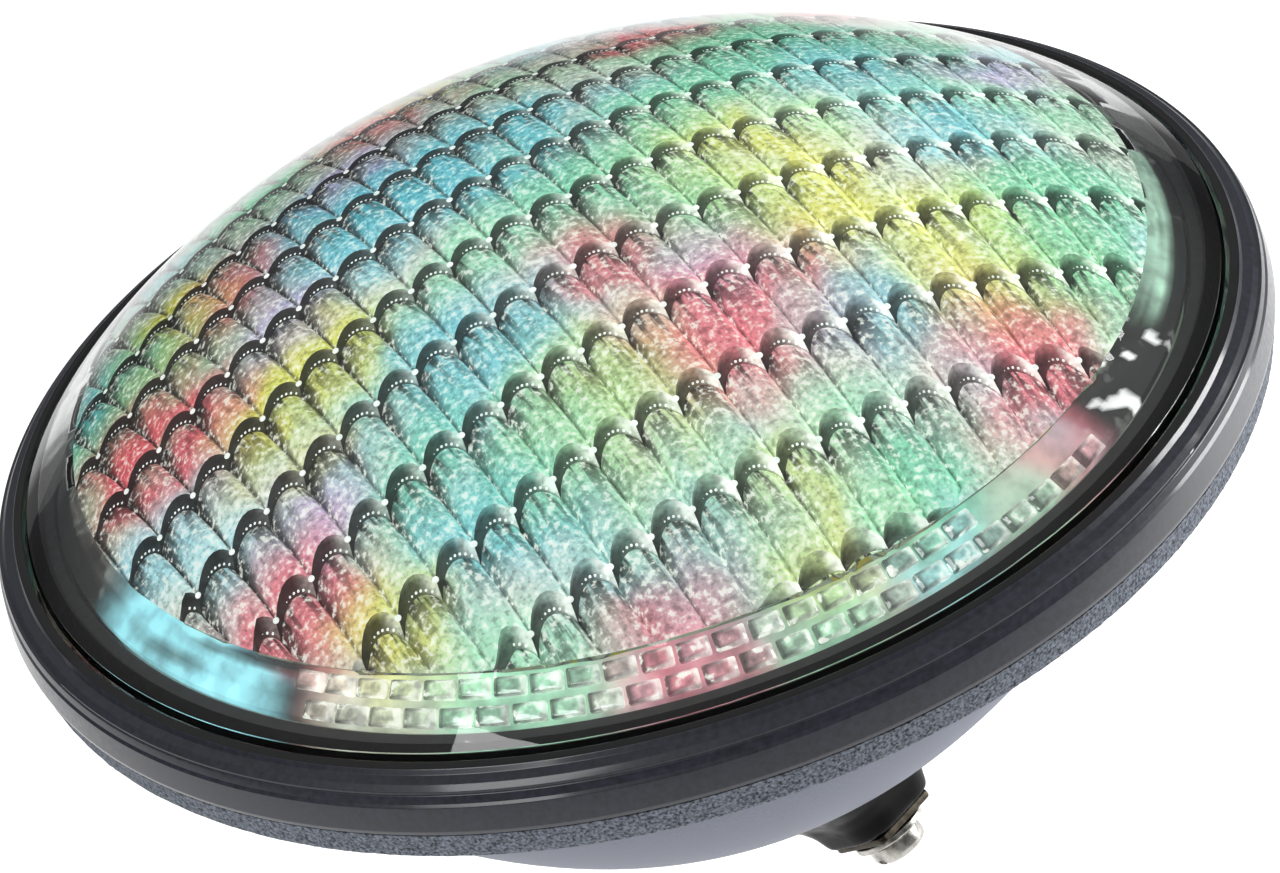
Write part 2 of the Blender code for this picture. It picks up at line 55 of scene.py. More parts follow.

# Rim and dome, as the CAD has them
LENS_EDGE_R = 83.0 * MM
LENS_FLANGE_R = 86.0 * MM
LENS_BORE_R = 79.6 * MM
RIM_JOIN_Z = 4.7 * MM              # lower face of the lens and the bezel
DOME_TOP_Z = 43.1 * MM
DOME_EDGE_Z = 12.5 * MM
DOME_H = DOME_TOP_Z - DOME_EDGE_Z
DOME_R = (LENS_EDGE_R ** 2 + DOME_H ** 2) / (2 * DOME_H)
DOME_CENTRE_Z = DOME_TOP_Z - DOME_R
BORDER_DEPTH = 4.8 * MM            # film round the flutes, below the outer face of the dome
BORDER_T = 1.0 * MM
BORDER_BORE_R = 72.2 * MM
BORDER_R = 77.2 * MM
STUD_ROWS_R = (73.7 * MM, 76.4 * MM)
STUD_COUNT = 104                   # places for studs in one full row

# Lens flutes
FLUTE_W = 5.89 * MM
FLUTE_ROW = 12.7 * MM
FLUTE_SHIFT_X = 4.0 * MM           # a groove between two flutes
FLUTE_SHIFT_Y = 4.5 * MM           # a step between two rows
FLUTE_FIELD_R = 73.0 * MM
FIELD_FADE = 1.5 * MM              # width over which the flutes run out into the plain border
PLAIN_DEPTH = 3.6 * MM             # glass over the plain border
CREST_DEPTH = 2.2 * MM             # glass over the crest of a flute
FLUTE_SAG = 2.1 * MM               # from the crest of a flute to its grooves
STEP_H = 2.4 * MM                  # from one row to the next
STEP_DRAFT = 0.9 * MM              # how far each step leans
SCALLOP = 1.7 * MM                 # bow of each step in plan, between two grooves
KNURL_PITCH = 0.6 * MM
CUSP_BEAD_R = 0.45 * MM
FILM_GAP = 0.12 * MM               # between the flutes and the film bonded to them

# Bowl
BOWL_MOUTH_Z = 0.7 * MM
BOWL_POWER = 2.15
BOWL_OUT_R, BOWL_OUT_DEPTH = 80.0 * MM, 61.0 * MM
BOWL_IN_R, BOWL_IN_DEPTH = 78.3 * MM, 59.4 * MM
NECK_R = 14.3 * MM
FLANGE_R = 86.6 * MM
FLANGE_TOP_Z = 1.8 * MM

# Terminals
TERMINAL_AZIMUTH = math.radians(-65.5)
TERMINAL_TILT = math.radians(30.0)
TERMINAL_R = 25.6 * MM
TERMINAL_Z = -65.5 * MM
PLATE_HALF = 5.8                   # millimetres
SHANK_R = 2.5 * MM
THREAD_PITCH = 0.8 * MM
THREAD_DEPTH = 0.42 * MM


# ---------------------------------------------------------------- camera, light and floor

def set_camera():
    """A long lens, a little above the rim and rolled to the right."""
    azimuth, elevation = math.radians(CAMERA_AZIMUTH), math.radians(CAMERA_ELEVATION)
    ahead = Vector((math.sin(azimuth) * math.cos(elevation), math.cos(azimuth) * math.cos(elevation),
                    -math.sin(elevation)))
    camera = bpy.data.objects.new("camera", bpy.data.cameras.new("camera"))
    camera.data.lens = CAMERA_LENS
    camera.data.sensor_width = CAMERA_SENSOR
    camera.data.clip_start = 0.01
    camera.location = Vector(CAMERA_AIM) * MM - ahead * CAMERA_DISTANCE
    camera.rotation_euler = (ahead.to_track_quat('-Z', 'Y').to_matrix()
                             @ Matrix.Rotation(-math.radians(CAMERA_ROLL), 3, 'Z')).to_euler()
    bpy.context.scene.collection.objects.link(camera)
    bpy.context.scene.camera = camera


def softbox(name, place, size, power):
    """A soft white light that faces the lamp."""
    light = bpy.data.objects.new(name, bpy.data.lights.new(name, 'AREA'))
    light.data.shape = 'RECTANGLE'
    light.data.size, light.data.size_y = size
    light.data.energy = power
    light.location = place
    light.rotation_euler = (-Vector(place)).to_track_quat('-Z', 'Y').to_euler()
    bpy.context.scene.collection.objects.link(light)


def set_studio():
    """Bright above and darker round the horizon, so that the glass and the enamel show their edges."""
    world = bpy.data.worlds.new("studio")
    bpy.context.scene.world = world
    world.use_nodes = True
    tree = world.node_tree
    way = add(tree, "ShaderNodeTexCoord").outputs["Generated"]
    height = add(tree, "ShaderNodeSeparateXYZ", {"Vector": way}).outputs["Z"]
    ramp = add(tree, "ShaderNodeValToRGB", {"Fac": height})
    ramp.color_ramp.elements[0].position = 0.06
    ramp.color_ramp.elements[0].color = (0.17, 0.17, 0.18, 1)
    ramp.color_ramp.elements[1].position = 0.75
    ramp.color_ramp.elements[1].color = (1, 1, 1, 1)
    tree.links.new(ramp.outputs["Color"], tree.nodes["Background"].inputs["Color"])
    tree.nodes["Background"].inputs["Strength"].default_value = 0.5
    bpy.context.scene.view_settings.view_transform = 'Standard'
    softbox("softbox_left", (-0.75, -0.5, 0.75), (0.45, 0.6), 6)
    softbox("softbox_right", (0.9, -0.2, 0.12), (0.4, 0.5), 9)
    bm = bmesh.new()
    bmesh.ops.create_circle(bm, cap_ends=True, segments=64, radius=FLOOR_R)
    floor = as_object("floor", bm)
    floor.location = (0, 0, FLOOR_Z)
    floor.data.materials.append(pale_floor())


# ---------------------------------------------------------------- material tools

def linear(hex_colour):
    """sRGB hex to linear RGBA."""
    channels = [int(hex_colour[k:k + 2], 16) / 255 for k in (1, 3, 5)]
    return (*[c / 12.92 if c <= 0.04045 else ((c + 0.055) / 1.055) ** 2.4 for c in channels], 1.0)


def add(tree, kind, links=None, values=None, **settings):
    """Add a node: settings are its own properties, values and links go to its inputs by name or number."""
    node = tree.nodes.new(kind)
    for name, value in settings.items():
        setattr(node, name, value)
    for key, value in (values or {}).items():
        node.inputs[key].default_value = value
    for key, output in (links or {}).items():
        tree.links.new(output, node.inputs[key])
    return node


def finish_material(name, shader_values):
    """A new material and its Principled shader with constants set on its own sockets."""
    material = bpy.data.materials.new(name)
    material.use_nodes = True
    shader = material.node_tree.nodes["Principled BSDF"]
    for key, value in shader_values.items():
        shader.inputs[key].default_value = value
    return material, material.node_tree, shader


def clouds(tree, size_mm, detail, rough=0.5):
    """Noise over the piece, with blotches of about size_mm."""
    place = add(tree, "ShaderNodeTexCoord").outputs["Object"]
    return add(tree, "ShaderNodeTexNoise", {"Vector": place},
               {"Scale": 1 / (size_mm * MM), "Detail": detail, "Roughness": rough}).outputs["Fac"]


def mottle(tree, dark, light, size_mm, detail=4.0, low=0.3, high=0.7):
    """A colour that drifts between two tones in blotches of about size_mm. Returns colour and factor."""
    cloud = clouds(tree, size_mm, detail, 0.55)
    ramp = add(tree, "ShaderNodeValToRGB", {"Fac": cloud})
    ramp.color_ramp.elements[0].position = low
    ramp.color_ramp.elements[0].color = linear(dark)
    ramp.color_ramp.elements[1].position = high
    ramp.color_ramp.elements[1].color = linear(light)
    return ramp.outputs["Color"], cloud


def skin(tree, shader, tones, size_mm, rough, *spread):
    """Blotches of two tones, and a roughness that drifts with them from rough[0] to rough[1]."""
    colour, factor = mottle(tree, *tones, size_mm, *spread)
    uneven = add(tree, "ShaderNodeMapRange", {"Value": factor},
                 {"From Min": 0.3, "From Max": 0.7, "To Min": rough[0], "To Max": rough[1]})
    tree.links.new(colour, shader.inputs["Base Color"])
    tree.links.new(uneven.outputs["Result"], shader.inputs["Roughness"])
    return colour


def glow(tree, shader, colour):
    """The same colour for the surface and for its glow."""
    tree.links.new(colour, shader.inputs["Base Color"])
    tree.links.new(colour, shader.inputs["Emission Color"])


def grain_bump(tree, shader, size_mm, height_mm, strength, detail=2.0):
    """Bump from noise with grains of size_mm."""
    bump = add(tree, "ShaderNodeBump", {"Height": clouds(tree, size_mm, detail, 0.6)},
               {"Strength": strength, "Distance": height_mm * MM})
    tree.links.new(bump.outputs["Normal"], shader.inputs["Normal"])


# ---------------------------------------------------------------- materials

def pale_floor():
    """Matt seamless paper that glows with a painted pool of light: near white round the lamp, and falling to
    grey far away.
    """
    material, tree, shader = finish_material(
        "seamless_paper", {"Roughness": 0.95, "Specular IOR Level": 0.1, "Emission Strength": 0.55})
    place = add(tree, "ShaderNodeTexCoord").outputs["Object"]
    distance = add(tree, "ShaderNodeVectorMath", {0: place}, {1: PALE_CENTRE}, operation='DISTANCE')
    # Painted pool of light: the glow fades from near white to grey away from PALE_CENTRE.
    near = add(tree, "ShaderNodeMapRange", {"Value": distance.outputs["Value"]},
               {"From Min": PALE_R, "From Max": GREY_R, "To Min": 1.0, "To Max": 0.24},
               interpolation_type='SMOOTHSTEP')
    paper, _ = mottle(tree, "#f7f7f7", "#ffffff", 40)
    colour = add(tree, "ShaderNodeVectorMath", {0: paper, "Scale": near.outputs["Result"]},
                 operation='SCALE').outputs["Vector"]
    glow(tree, shader, colour)
    return material


def pressed_glass():
    """Pressed soda-lime glass, fire polished: clear, with a slow ripple from the mould."""
    material, tree, shader = finish_material(
        "pressed_glass", {"Roughness": 0.0, "IOR": 1.5, "Transmission Weight": 1.0,
                          "Specular IOR Level": 0.35, "Base Color": linear("#fbfefd")})
    grain_bump(tree, shader, 14.0, 0.06, 0.5)
    return material


def painted_shade_black():
    """Black butyl against the edge of the glass, standing in as painted shade: it swallows the light inside
    the rim.
    """
    material, tree, shader = finish_material("painted_shade_butyl", {"IOR": 1.5})
    skin(tree, shader, ("#050506", "#0e0f10"), 1.5, (0.5, 0.7))
    return material


def step_film():
    """Coloured layer on the steps: smooth, dark with the painted shade of its attribute, with a little of the
    light mottled through it.
    """
    material, tree, shader = finish_material(
        "step_film", {"IOR": 1.5, "Roughness": 0.3, "Emission Strength": 0.8})
    patch = add(tree, "ShaderNodeAttribute", attribute_name="patch_colour_and_shading").outputs["Color"]
    _, cloud = mottle(tree, "#000000", "#ffffff", 0.9)
    shade = add(tree, "ShaderNodeMapRange", {"Value": cloud},
                {"From Min": 0.35, "From Max": 0.65, "To Min": 0.65, "To Max": 1.3})
    lit = add(tree, "ShaderNodeVectorMath", {0: patch, "Scale": shade.outputs["Result"]},
              operation='SCALE').outputs["Vector"]
    glow(tree, shader, lit)
    return material


def painted_knurl_highlight():
    """Fine knurl along each step: tiny beads of frosted glass, glowing bright as painted highlights."""
    material, tree, shader = finish_material(
        "knurl_highlight_glow", {"IOR": 1.5, "Roughness": 0.25, "Emission Strength": 0.8})
    colour, _ = mottle(tree, "#c9d6cf", "#ffffff", 1.2)
    glow(tree, shader, colour)
    return material


def glowing_patch(tree, shader, tone, pale_share):
    """The patch colour times tone, with pale specks mixed in, as both colour and glow."""
    patch = add(tree, "ShaderNodeAttribute", attribute_name="patch_colour_and_shading").outputs["Color"]
    toned = add(tree, "ShaderNodeVectorMath", {0: patch, "Scale": tone}, operation='SCALE').outputs["Vector"]
    mix = add(tree, "ShaderNodeMix", {"Factor": pale_share, 6: toned}, data_type='RGBA')
    mix.inputs[7].default_value = linear("#e3e6dd")
    glow(tree, shader, mix.outputs[2])


def patch_film():
    """Frosted polycarbonate film, lit from behind: soft colour patches under fine pale pebbling.

    The attribute's alpha rises towards the far end of each flute, where dark upright streaks of painted shade
    gather.
    """
    material, tree, shader = finish_material(
        "patch_film", {"IOR": 1.58, "Roughness": 0.45, "Emission Strength": 1.12})
    place = add(tree, "ShaderNodeTexCoord").outputs["Object"]
    grain = clouds(tree, 0.95, 2.5, 0.6)
    pits = add(tree, "ShaderNodeMapRange", {"Value": grain},
               {"From Min": 0.34, "From Max": 0.46, "To Min": 0.58, "To Max": 1.0}).outputs["Result"]
    specks = add(tree, "ShaderNodeMapRange", {"Value": grain},
                 {"From Min": 0.52, "From Max": 0.66, "To Min": 0.0, "To Max": 0.55}).outputs["Result"]
    stretched = add(tree, "ShaderNodeMapping", {"Vector": place})
    stretched.inputs["Scale"].default_value = (1.0, 0.12, 0.12)
    streak = add(tree, "ShaderNodeTexNoise", {"Vector": stretched.outputs["Vector"]},
                 {"Scale": 1 / (1.0 * MM), "Detail": 3.0})
    # Painted shade: dark upright streaks, stretched along Y.
    depth = add(tree, "ShaderNodeMapRange", {"Value": streak.outputs["Fac"]},
                {"From Min": 0.44, "From Max": 0.53, "To Min": 0.95, "To Max": 0.0}).outputs["Result"]
    far_end = add(tree, "ShaderNodeAttribute", attribute_name="patch_colour_and_shading").outputs["Alpha"]
    gathered = add(tree, "ShaderNodeMath", {0: depth, 1: far_end}, operation='MULTIPLY').outputs["Value"]
    streaks = add(tree, "ShaderNodeMath", {1: gathered}, {0: 1.0}, operation='SUBTRACT').outputs["Value"]
    tone = add(tree, "ShaderNodeMath", {0: pits, 1: streaks}, operation='MULTIPLY').outputs["Value"]
    glowing_patch(tree, shader, tone, specks)
    bump = add(tree, "ShaderNodeBump", {"Height": grain}, {"Strength": 0.4, "Distance": 0.2 * MM})
    tree.links.new(bump.outputs["Normal"], shader.inputs["Normal"])
    return material


def border_gloss():
    """The smooth border of the film: glossy, with streaks of the light round it painted into its glowing
    colour.
    """
    material, tree, shader = finish_material(
        "border_gloss", {"IOR": 1.58, "Roughness": 0.12, "Emission Strength": 1.0})
    cloud = clouds(tree, 4, 3.0)
    tone = add(tree, "ShaderNodeMapRange", {"Value": cloud},
               {"From Min": 0.3, "From Max": 0.6, "To Min": 0.6, "To Max": 1.1}).outputs["Result"]
    pale = add(tree, "ShaderNodeMapRange", {"Value": cloud},
               {"From Min": 0.62, "From Max": 0.75, "To Min": 0.0, "To Max": 0.12}).outputs["Result"]
    glowing_patch(tree, shader, tone, pale)
    return material


def bezel_enamel():
    """Black stoved enamel over a spun ring: slate black, with the faint orange peel of sprayed paint.

    The orange peel is drawn a little coarser than on real paint, so that it shows.
    """
    material, tree, shader = finish_material(
        "bezel_enamel", {"IOR": 1.5, "Specular IOR Level": 0.25, "Coat Weight": 0.6, "Coat Roughness": 0.12})
    skin(tree, shader, ("#15171e", "#262936"), 0.9, (0.34, 0.5), 6.0)
    grain_bump(tree, shader, 1.2, 0.01, 0.4)
    return material


def lip_enamel():
    """The same enamel on the lip, polished by handling: near black and glossy."""
    material, tree, shader = finish_material("lip_enamel", {"IOR": 1.5, "Specular IOR Level": 0.4})
    skin(tree, shader, ("#060708", "#111215"), 6.0, (0.08, 0.16))
    return material


def seal_compound():
    """Filled sealing compound, wiped off while soft: grey, open grained, quite matt."""
    material, tree, shader = finish_material("seal_compound", {"IOR": 1.45})
    skin(tree, shader, ("#20242b", "#7b828e"), 0.42, (0.95, 0.7), 5.0, 0.34, 0.64)
    grain_bump(tree, shader, 0.45, 0.18, 0.8, 4.0)
    return material


def bowl_paint():
    """Satin silver-blue paint on the spun bowl: fine flake and a soft sheen.

    Real flake is about 0.05 mm; it is drawn at 0.55 mm so that it shows.
    """
    material, tree, shader = finish_material("bowl_paint", {"IOR": 1.5, "Specular IOR Level": 0.2})
    skin(tree, shader, ("#424857", "#646b80"), 0.55, (0.38, 0.5), 6.0)
    grain_bump(tree, shader, 0.6, 0.012, 0.6)
    return material


def phenolic():
    """Black phenolic moulding: semi-gloss skin with a trace of flow lines."""
    material, tree, shader = finish_material("black_phenolic", {"IOR": 1.6, "Specular IOR Level": 0.06})
    skin(tree, shader, ("#030303", "#090808"), 2.5, (0.3, 0.48))
    grain_bump(tree, shader, 0.9, 0.02, 0.5)
    return material


def plated_metal(name, dark, light, *rough, grain_mm=0.5):
    """Plated or bare metal, turned or rolled: tone drifts a little, and fine grain softens the shine.

    Real grain is under 0.1 mm; it is drawn several times coarser so that it shows.
    """
    material, tree, shader = finish_material(name, {"Metallic": 1.0})
    skin(tree, shader, (dark, light), 2.0, rough)
    grain_bump(tree, shader, grain_mm, 0.006, 0.5)
    return material


def moulded(name, dark, light, *rough, ior=1.5, grain_mm=0.4):
    """Moulded, cast or laminated plastic: two close tones and a fine skin, drawn coarser than it is."""
    material, tree, shader = finish_material(name, {"IOR": ior})
    skin(tree, shader, (dark, light), 1.5, rough)
    grain_bump(tree, shader, grain_mm, 0.01, 0.5)
    return material


def stud_glass():
    """Clear moulded studs at the film's edge: glossy blocks that hold the colour behind them."""
    material, tree, shader = finish_material(
        "moulded_stud", {"IOR": 1.58, "Roughness": 0.08, "Emission Strength": 1.0, "Coat Weight": 0.6,
                         "Coat Roughness": 0.03})
    cloud = clouds(tree, 1.8, 3.0)
    tone = add(tree, "ShaderNodeMapRange", {"Value": cloud},
               {"From Min": 0.35, "From Max": 0.6, "To Min": 0.5, "To Max": 1.15}).outputs["Result"]
    pale = add(tree, "ShaderNodeMapRange", {"Value": cloud},
               {"From Min": 0.58, "From Max": 0.66, "To Min": 0.0, "To Max": 0.8}).outputs["Result"]
    glowing_patch(tree, shader, tone, pale)
    return material


def bright_dip():
    """Vacuum-coated aluminium inside the bowl: a mirror with a faint spinning lay."""
    return plated_metal("vacuum_aluminium", "#c9ccd0", "#e4e6e8", 0.05, 0.12, grain_mm=0.8)


def nickelled_brass():
    """Nickel plate over stamped brass: warm grey, softly worn bright at the high spots."""
    return plated_metal("nickelled_brass", "#28251f", "#4d483e", 0.36, 0.5)


def nickelled_steel():
    """Nickel plate over turned steel: pale, a little cool, fairly bright."""
    return plated_metal("nickelled_steel", "#77756f", "#c9c7c1", 0.2, 0.36)


def brushed_aluminium():
    """Rolled aluminium sheet, brushed: long fine lines, pale grey."""
    return plated_metal("brushed_aluminium", "#b3b6b9", "#cfd2d4", 0.28, 0.4, grain_mm=0.3)


def zinc_plate():
    """Bright zinc plate on small steel fixings."""
    return plated_metal("zinc_plate", "#9fa3a8", "#c3c7cc", 0.22, 0.36)


def turned_brass():
    """Bar-turned brass, left bare: yellow with a slightly darker bloom."""
    return plated_metal("turned_brass", "#a98a48", "#cbb06a", 0.2, 0.34)


def copper_winding():
    """Enamelled copper wire: reddish, with the fine ribs of close turns."""
    return plated_metal("enamelled_copper", "#8f4a22", "#bd7440", 0.2, 0.34, grain_mm=0.35)


def carrier_polycarbonate():
    """White moulded polycarbonate, fine spark-eroded skin."""
    return moulded("white_polycarbonate", "#d3d4d1", "#e4e5e2", 0.4, 0.55)


def strip_resist():
    """White solder resist, with warm phosphor on the tops of the raised packages."""
    material, tree, shader = finish_material("strip_resist", {"IOR": 1.5})
    colour = skin(tree, shader, ("#dcdcd4", "#efefe8"), 1.5, (0.35, 0.5))
    place = add(tree, "ShaderNodeTexCoord").outputs["Object"]
    height = add(tree, "ShaderNodeSeparateXYZ", {"Vector": place}).outputs["Z"]
    top = add(tree, "ShaderNodeMapRange", {"Value": height},
              {"From Min": -3.9 * MM, "From Max": -3.7 * MM}).outputs["Result"]
    mix = add(tree, "ShaderNodeMix", {"Factor": top, "A": colour}, data_type='RGBA')
    mix.inputs[7].default_value = linear("#e3c64a")
    tree.links.new(mix.outputs[2], shader.inputs["Base Color"])
    return material


def board_resist():
    """Green solder resist over woven glass and epoxy: glossy, with a faint weave."""
    return moulded("board_resist", "#0c3d22", "#14532f", 0.25, 0.4, ior=1.55, grain_mm=0.5)


def moulded_epoxy():
    """Black moulded epoxy packages: matt, slightly grey."""
    return moulded("moulded_epoxy", "#17171a", "#26262a", 0.45, 0.6, ior=1.55)


def shrink_sleeve():
    """Dark blue shrunk sleeve on the capacitor: smooth and quite glossy."""
    return moulded("shrink_sleeve", "#101c33", "#1b2b4a", 0.2, 0.32, ior=1.52, grain_mm=1.2)


def cast_cement():
    """Cast lamp cement: chalky, pale buff, with small pores."""
    return moulded("cast_cement", "#b3a78f", "#d3c9b4", 0.8, 0.95, grain_mm=0.35)


def red_silicone():
    """Red silicone insulation, extruded: soft sheen."""
    return moulded("red_silicone", "#8c1616", "#a82222", 0.4, 0.52, ior=1.43, grain_mm=0.6)


def black_silicone():
    """Black silicone insulation, extruded: soft sheen."""
    return moulded("black_silicone", "#141414", "#222222", 0.4, 0.52, ior=1.43, grain_mm=0.6)


# ---------------------------------------------------------------- mesh tools

ON_AXIS = 1e-9
ROUND_STEPS = 5                    # facets on a rounded corner


def as_object(name, bm):
    """An object in the scene, with bm as its mesh."""
    mesh = bpy.data.meshes.new(name)
    bm.to_mesh(mesh)
    bm.free()
    item = bpy.data.objects.new(name, mesh)
    bpy.context.scene.collection.objects.link(item)
    return item


def make_piece(name, bm, materials, node, body=LAMP, sharp=40):
    """A finished piece that rides a body and stands for a CAD node, or for None."""
    piece = as_object(name, bm)
    piece.data.shade_smooth()
    piece.data.set_sharp_from_angle(angle=math.radians(sharp))
    for material in materials:
        piece.data.materials.append(material)
    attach(piece, body)
    if node:
        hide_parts(node)


def turn(profile, segments, bend=None):
    """Turn a closed outline of (r, z) points about Z. bend(r, z, angle) may move a point."""
    bm = bmesh.new()
    rings = []
    for r, z in profile:
        if r < ON_AXIS:
            rings.append([bm.verts.new((0, 0, z))] * segments)
            continue
        ring = []
        for k in range(segments):
            a = math.tau * k / segments
            rr, zz = bend(r, z, a) if bend else (r, z)
            ring.append(bm.verts.new((rr * math.cos(a), rr * math.sin(a), zz)))
        rings.append(ring)
    for low, high in zip(rings, rings[1:] + rings[:1]):
        for k in range(segments):
            corners = [low[k], low[(k + 1) % segments], high[(k + 1) % segments], high[k]]
            corners = list(dict.fromkeys(corners))
            if len(corners) > 2:
                bm.faces.new(corners)
    bmesh.ops.recalc_face_normals(bm, faces=bm.faces)
    return bm


def in_metres(points):
    """An outline given in millimetres."""
    return [(r * MM, z * MM) for r, z in points]


def rounded(corners):
    """Round the corners of an outline. Each corner is (r, z, radius) in millimetres."""
    points = []
    count = len(corners)
    for k, (r, z, radius) in enumerate(corners):
        here = Vector((r, z))
        if radius <= 0:
            points.append((r * MM, z * MM))
            continue
        before = (Vector(corners[k - 1][:2]) - here).normalized()
        after = (Vector(corners[(k + 1) % count][:2]) - here).normalized()
        half = before.angle(after) / 2
        reach = radius / math.tan(half)
        start, end = here + before * reach, here + after * reach
        centre = here + (before + after).normalized() * (radius / math.sin(half))
        for i in range(ROUND_STEPS + 1):
            ray = (start - centre).slerp(end - centre, i / ROUND_STEPS)
            p = centre + ray.normalized() * radius
            points.append((p.x * MM, p.y * MM))
    return points


def dome_point_z(depth, r):
    """Height of the dome's face that lies depth below its outer face."""
    radius = DOME_R - depth
    return DOME_CENTRE_Z + math.sqrt(radius * radius - r * r)


def bowl_arc(mouth_r, depth, r_from, r_to, steps):
    """Points of the bowl's curve between two radii."""
    rs = [r_from + (r_to - r_from) * k / steps for k in range(steps + 1)]
    return [(r, BOWL_MOUTH_Z - depth * (1 - (r / mouth_r) ** BOWL_POWER)) for r in rs]


# ---------------------------------------------------------------- lens

def cell_part(x):
    """Place across a flute: 0 at its left groove, 1 at its right groove."""
    across = (x - FLUTE_SHIFT_X) / FLUTE_W
    return across - math.floor(across)


def smooth_step(low, high, value):
    """0 at low, 1 at high, eased between them. low may be the larger."""
    t = max(0.0, min(1.0, (value - low) / (high - low)))
    return t * t * (3 - 2 * t)


def flute_depth(x, drop):
    """Glass thickness in the fluted field. drop is 0 at the near end of a flute and 1 at its far end."""
    across = abs(2 * cell_part(x) - 1)        # 0 on the crest, 1 in the groove
    barrel = 1 - math.sqrt(max(0.0, 1 - (0.97 * across) ** 2))
    return CREST_DEPTH + FLUTE_SAG * barrel + STEP_H * drop


ACROSS_STEPS, ALONG_STEPS, STEP_STEPS = 12, 8, 4      # facets of a flute and of a step
FIELD_EDGE = 0.997                                    # outermost row, as a share of the field


def grid_lines():
    """X stations, and Y stations as (y, drop, rise). rise is the height on a step, or None between steps."""
    limit = FLUTE_FIELD_R * FIELD_EDGE
    xs = []
    first = math.floor((-limit - FLUTE_SHIFT_X) / FLUTE_W)
    for cell in range(first, -first + 2):
        for k in range(ACROSS_STEPS):
            part = 0.5 - 0.5 * math.cos(math.pi * k / ACROSS_STEPS)      # closer together in the grooves
            x = FLUTE_SHIFT_X + (cell + part) * FLUTE_W
            if abs(x) < FLUTE_FIELD_R:
                xs.append(x)
    ys = []
    first = math.floor((-limit - FLUTE_SHIFT_Y) / FLUTE_ROW)
    length = FLUTE_ROW - STEP_DRAFT
    for row in range(first, -first + 1):
        start = FLUTE_SHIFT_Y + row * FLUTE_ROW
        ys += [(start + length * k / ALONG_STEPS, (k / ALONG_STEPS) ** 1.4, None) for k in range(ALONG_STEPS)]
        ys += [(start + length + STEP_DRAFT * k / STEP_STEPS, 1 - k / STEP_STEPS, k / STEP_STEPS)
               for k in range(STEP_STEPS)]
    inside = [station for station in ys if abs(station[0]) < limit]
    return xs, [(-limit, inside[0][1], None)] + inside + [(limit, inside[-1][1], None)]


def scallop(x):
    """How far a step bows along Y at x."""
    return SCALLOP * (1 - (2 * cell_part(x) - 1) ** 2)


def fluted_sheet(bm, lift):
    """The fluted face, raised by lift, with material 1 on its steps. Returns (drop, rise) for each point."""
    xs, ys = grid_lines()
    rows, marks = [], {}
    for y, drop, rise in ys:
        reach = math.sqrt(FLUTE_FIELD_R ** 2 - y * y)
        line, row = {}, []
        for x in xs:
            cx = max(-reach, min(reach, x))
            if cx not in line:
                depth = flute_depth(cx, drop)
                inside = min(1.0, (FLUTE_FIELD_R - math.hypot(cx, y)) / FIELD_FADE)
                depth += (PLAIN_DEPTH - depth) * (1 - inside) - lift
                by = y + scallop(cx) * inside
                line[cx] = bm.verts.new((cx, by, dome_point_z(depth, math.hypot(cx, by))))
                marks[line[cx]] = (drop, rise)
            row.append(line[cx])
        rows.append(row)
    for (_, _, rise), low, high in zip(ys, rows, rows[1:]):
        for k in range(len(xs) - 1):
            corners = list(dict.fromkeys([low[k], low[k + 1], high[k + 1], high[k]]))
            if len(corners) > 2:
                face = bm.faces.new(corners)
                face.material_index = 0 if rise is None else 1
    return marks


DOME_RINGS = 40


def make_lens():
    """Closed glass lens: fluted field inside, plain border, flange in the bezel, smooth dome outside."""
    bm = bmesh.new()
    fluted_sheet(bm, 0.0)
    for face in bm.faces:
        face.material_index = 0
    loop = ordered_boundary(bm)
    rings = [loop]
    for r in (74.5 * MM, 77.5 * MM, LENS_BORE_R):
        rings.append(ring_like(bm, loop, r, dome_point_z(PLAIN_DEPTH, r)))
    bore = len(rings) - 1
    for r, z in [(LENS_BORE_R, RIM_JOIN_Z), (LENS_FLANGE_R, RIM_JOIN_Z), (LENS_FLANGE_R, 8.9 * MM),
                 (LENS_EDGE_R, 10.2 * MM)]:
        rings.append(ring_like(bm, loop, r, z))
    flange = len(rings) - 1
    for k in range(DOME_RINGS):
        r = LENS_EDGE_R * math.cos(math.pi / 2 * k / DOME_RINGS)
        rings.append(ring_like(bm, loop, r, dome_point_z(0, r)))
    for level, (low, high) in enumerate(zip(rings, rings[1:])):
        for k in range(len(loop)):
            face = bm.faces.new((low[k], low[k - 1], high[k - 1], high[k]))
            # The bore and flange faces of the glass take the black, as painted shade.
            face.material_index = 1 if bore <= level < flange else 0
    top = bm.verts.new((0, 0, DOME_TOP_Z))
    for k in range(len(loop)):
        bm.faces.new((rings[-1][k], rings[-1][k - 1], top))
    bmesh.ops.recalc_face_normals(bm, faces=bm.faces)
    make_piece("fluted_lens", bm, [pressed_glass(), painted_shade_black()], "lens", sharp=45)


def ordered_boundary(bm):
    """The open edge's points, in order around the axis."""
    edges = [e for e in bm.edges if e.is_boundary]
    near = {}
    for edge in edges:
        for v in edge.verts:
            near.setdefault(v, []).append(edge.other_vert(v))
    start = edges[0].verts[0]
    loop, last = [start], None
    while True:
        step = [v for v in near[loop[-1]] if v is not last][0]
        last = loop[-1]
        if step is start:
            return loop
        loop.append(step)


def ring_like(bm, loop, r, z):
    """A ring at radius r, with one point in line with each point of the loop."""
    ring = []
    for v in loop:
        scale = r / math.hypot(v.co.x, v.co.y)
        ring.append(bm.verts.new((v.co.x * scale, v.co.y * scale, z)))
    return ring


KNURL_MARGIN = 1.6 * MM            # from the last bead to the edge of the field
KNURL_SIZE = (0.2, 0.16, 0.3)      # half sizes of a bead, in millimetres
KNURL_RISE = 0.8                   # height of the beads on a step, from 0 to 1
KNURL_SINK, CUSP_SINK = 0.12 * MM, 0.3 * MM


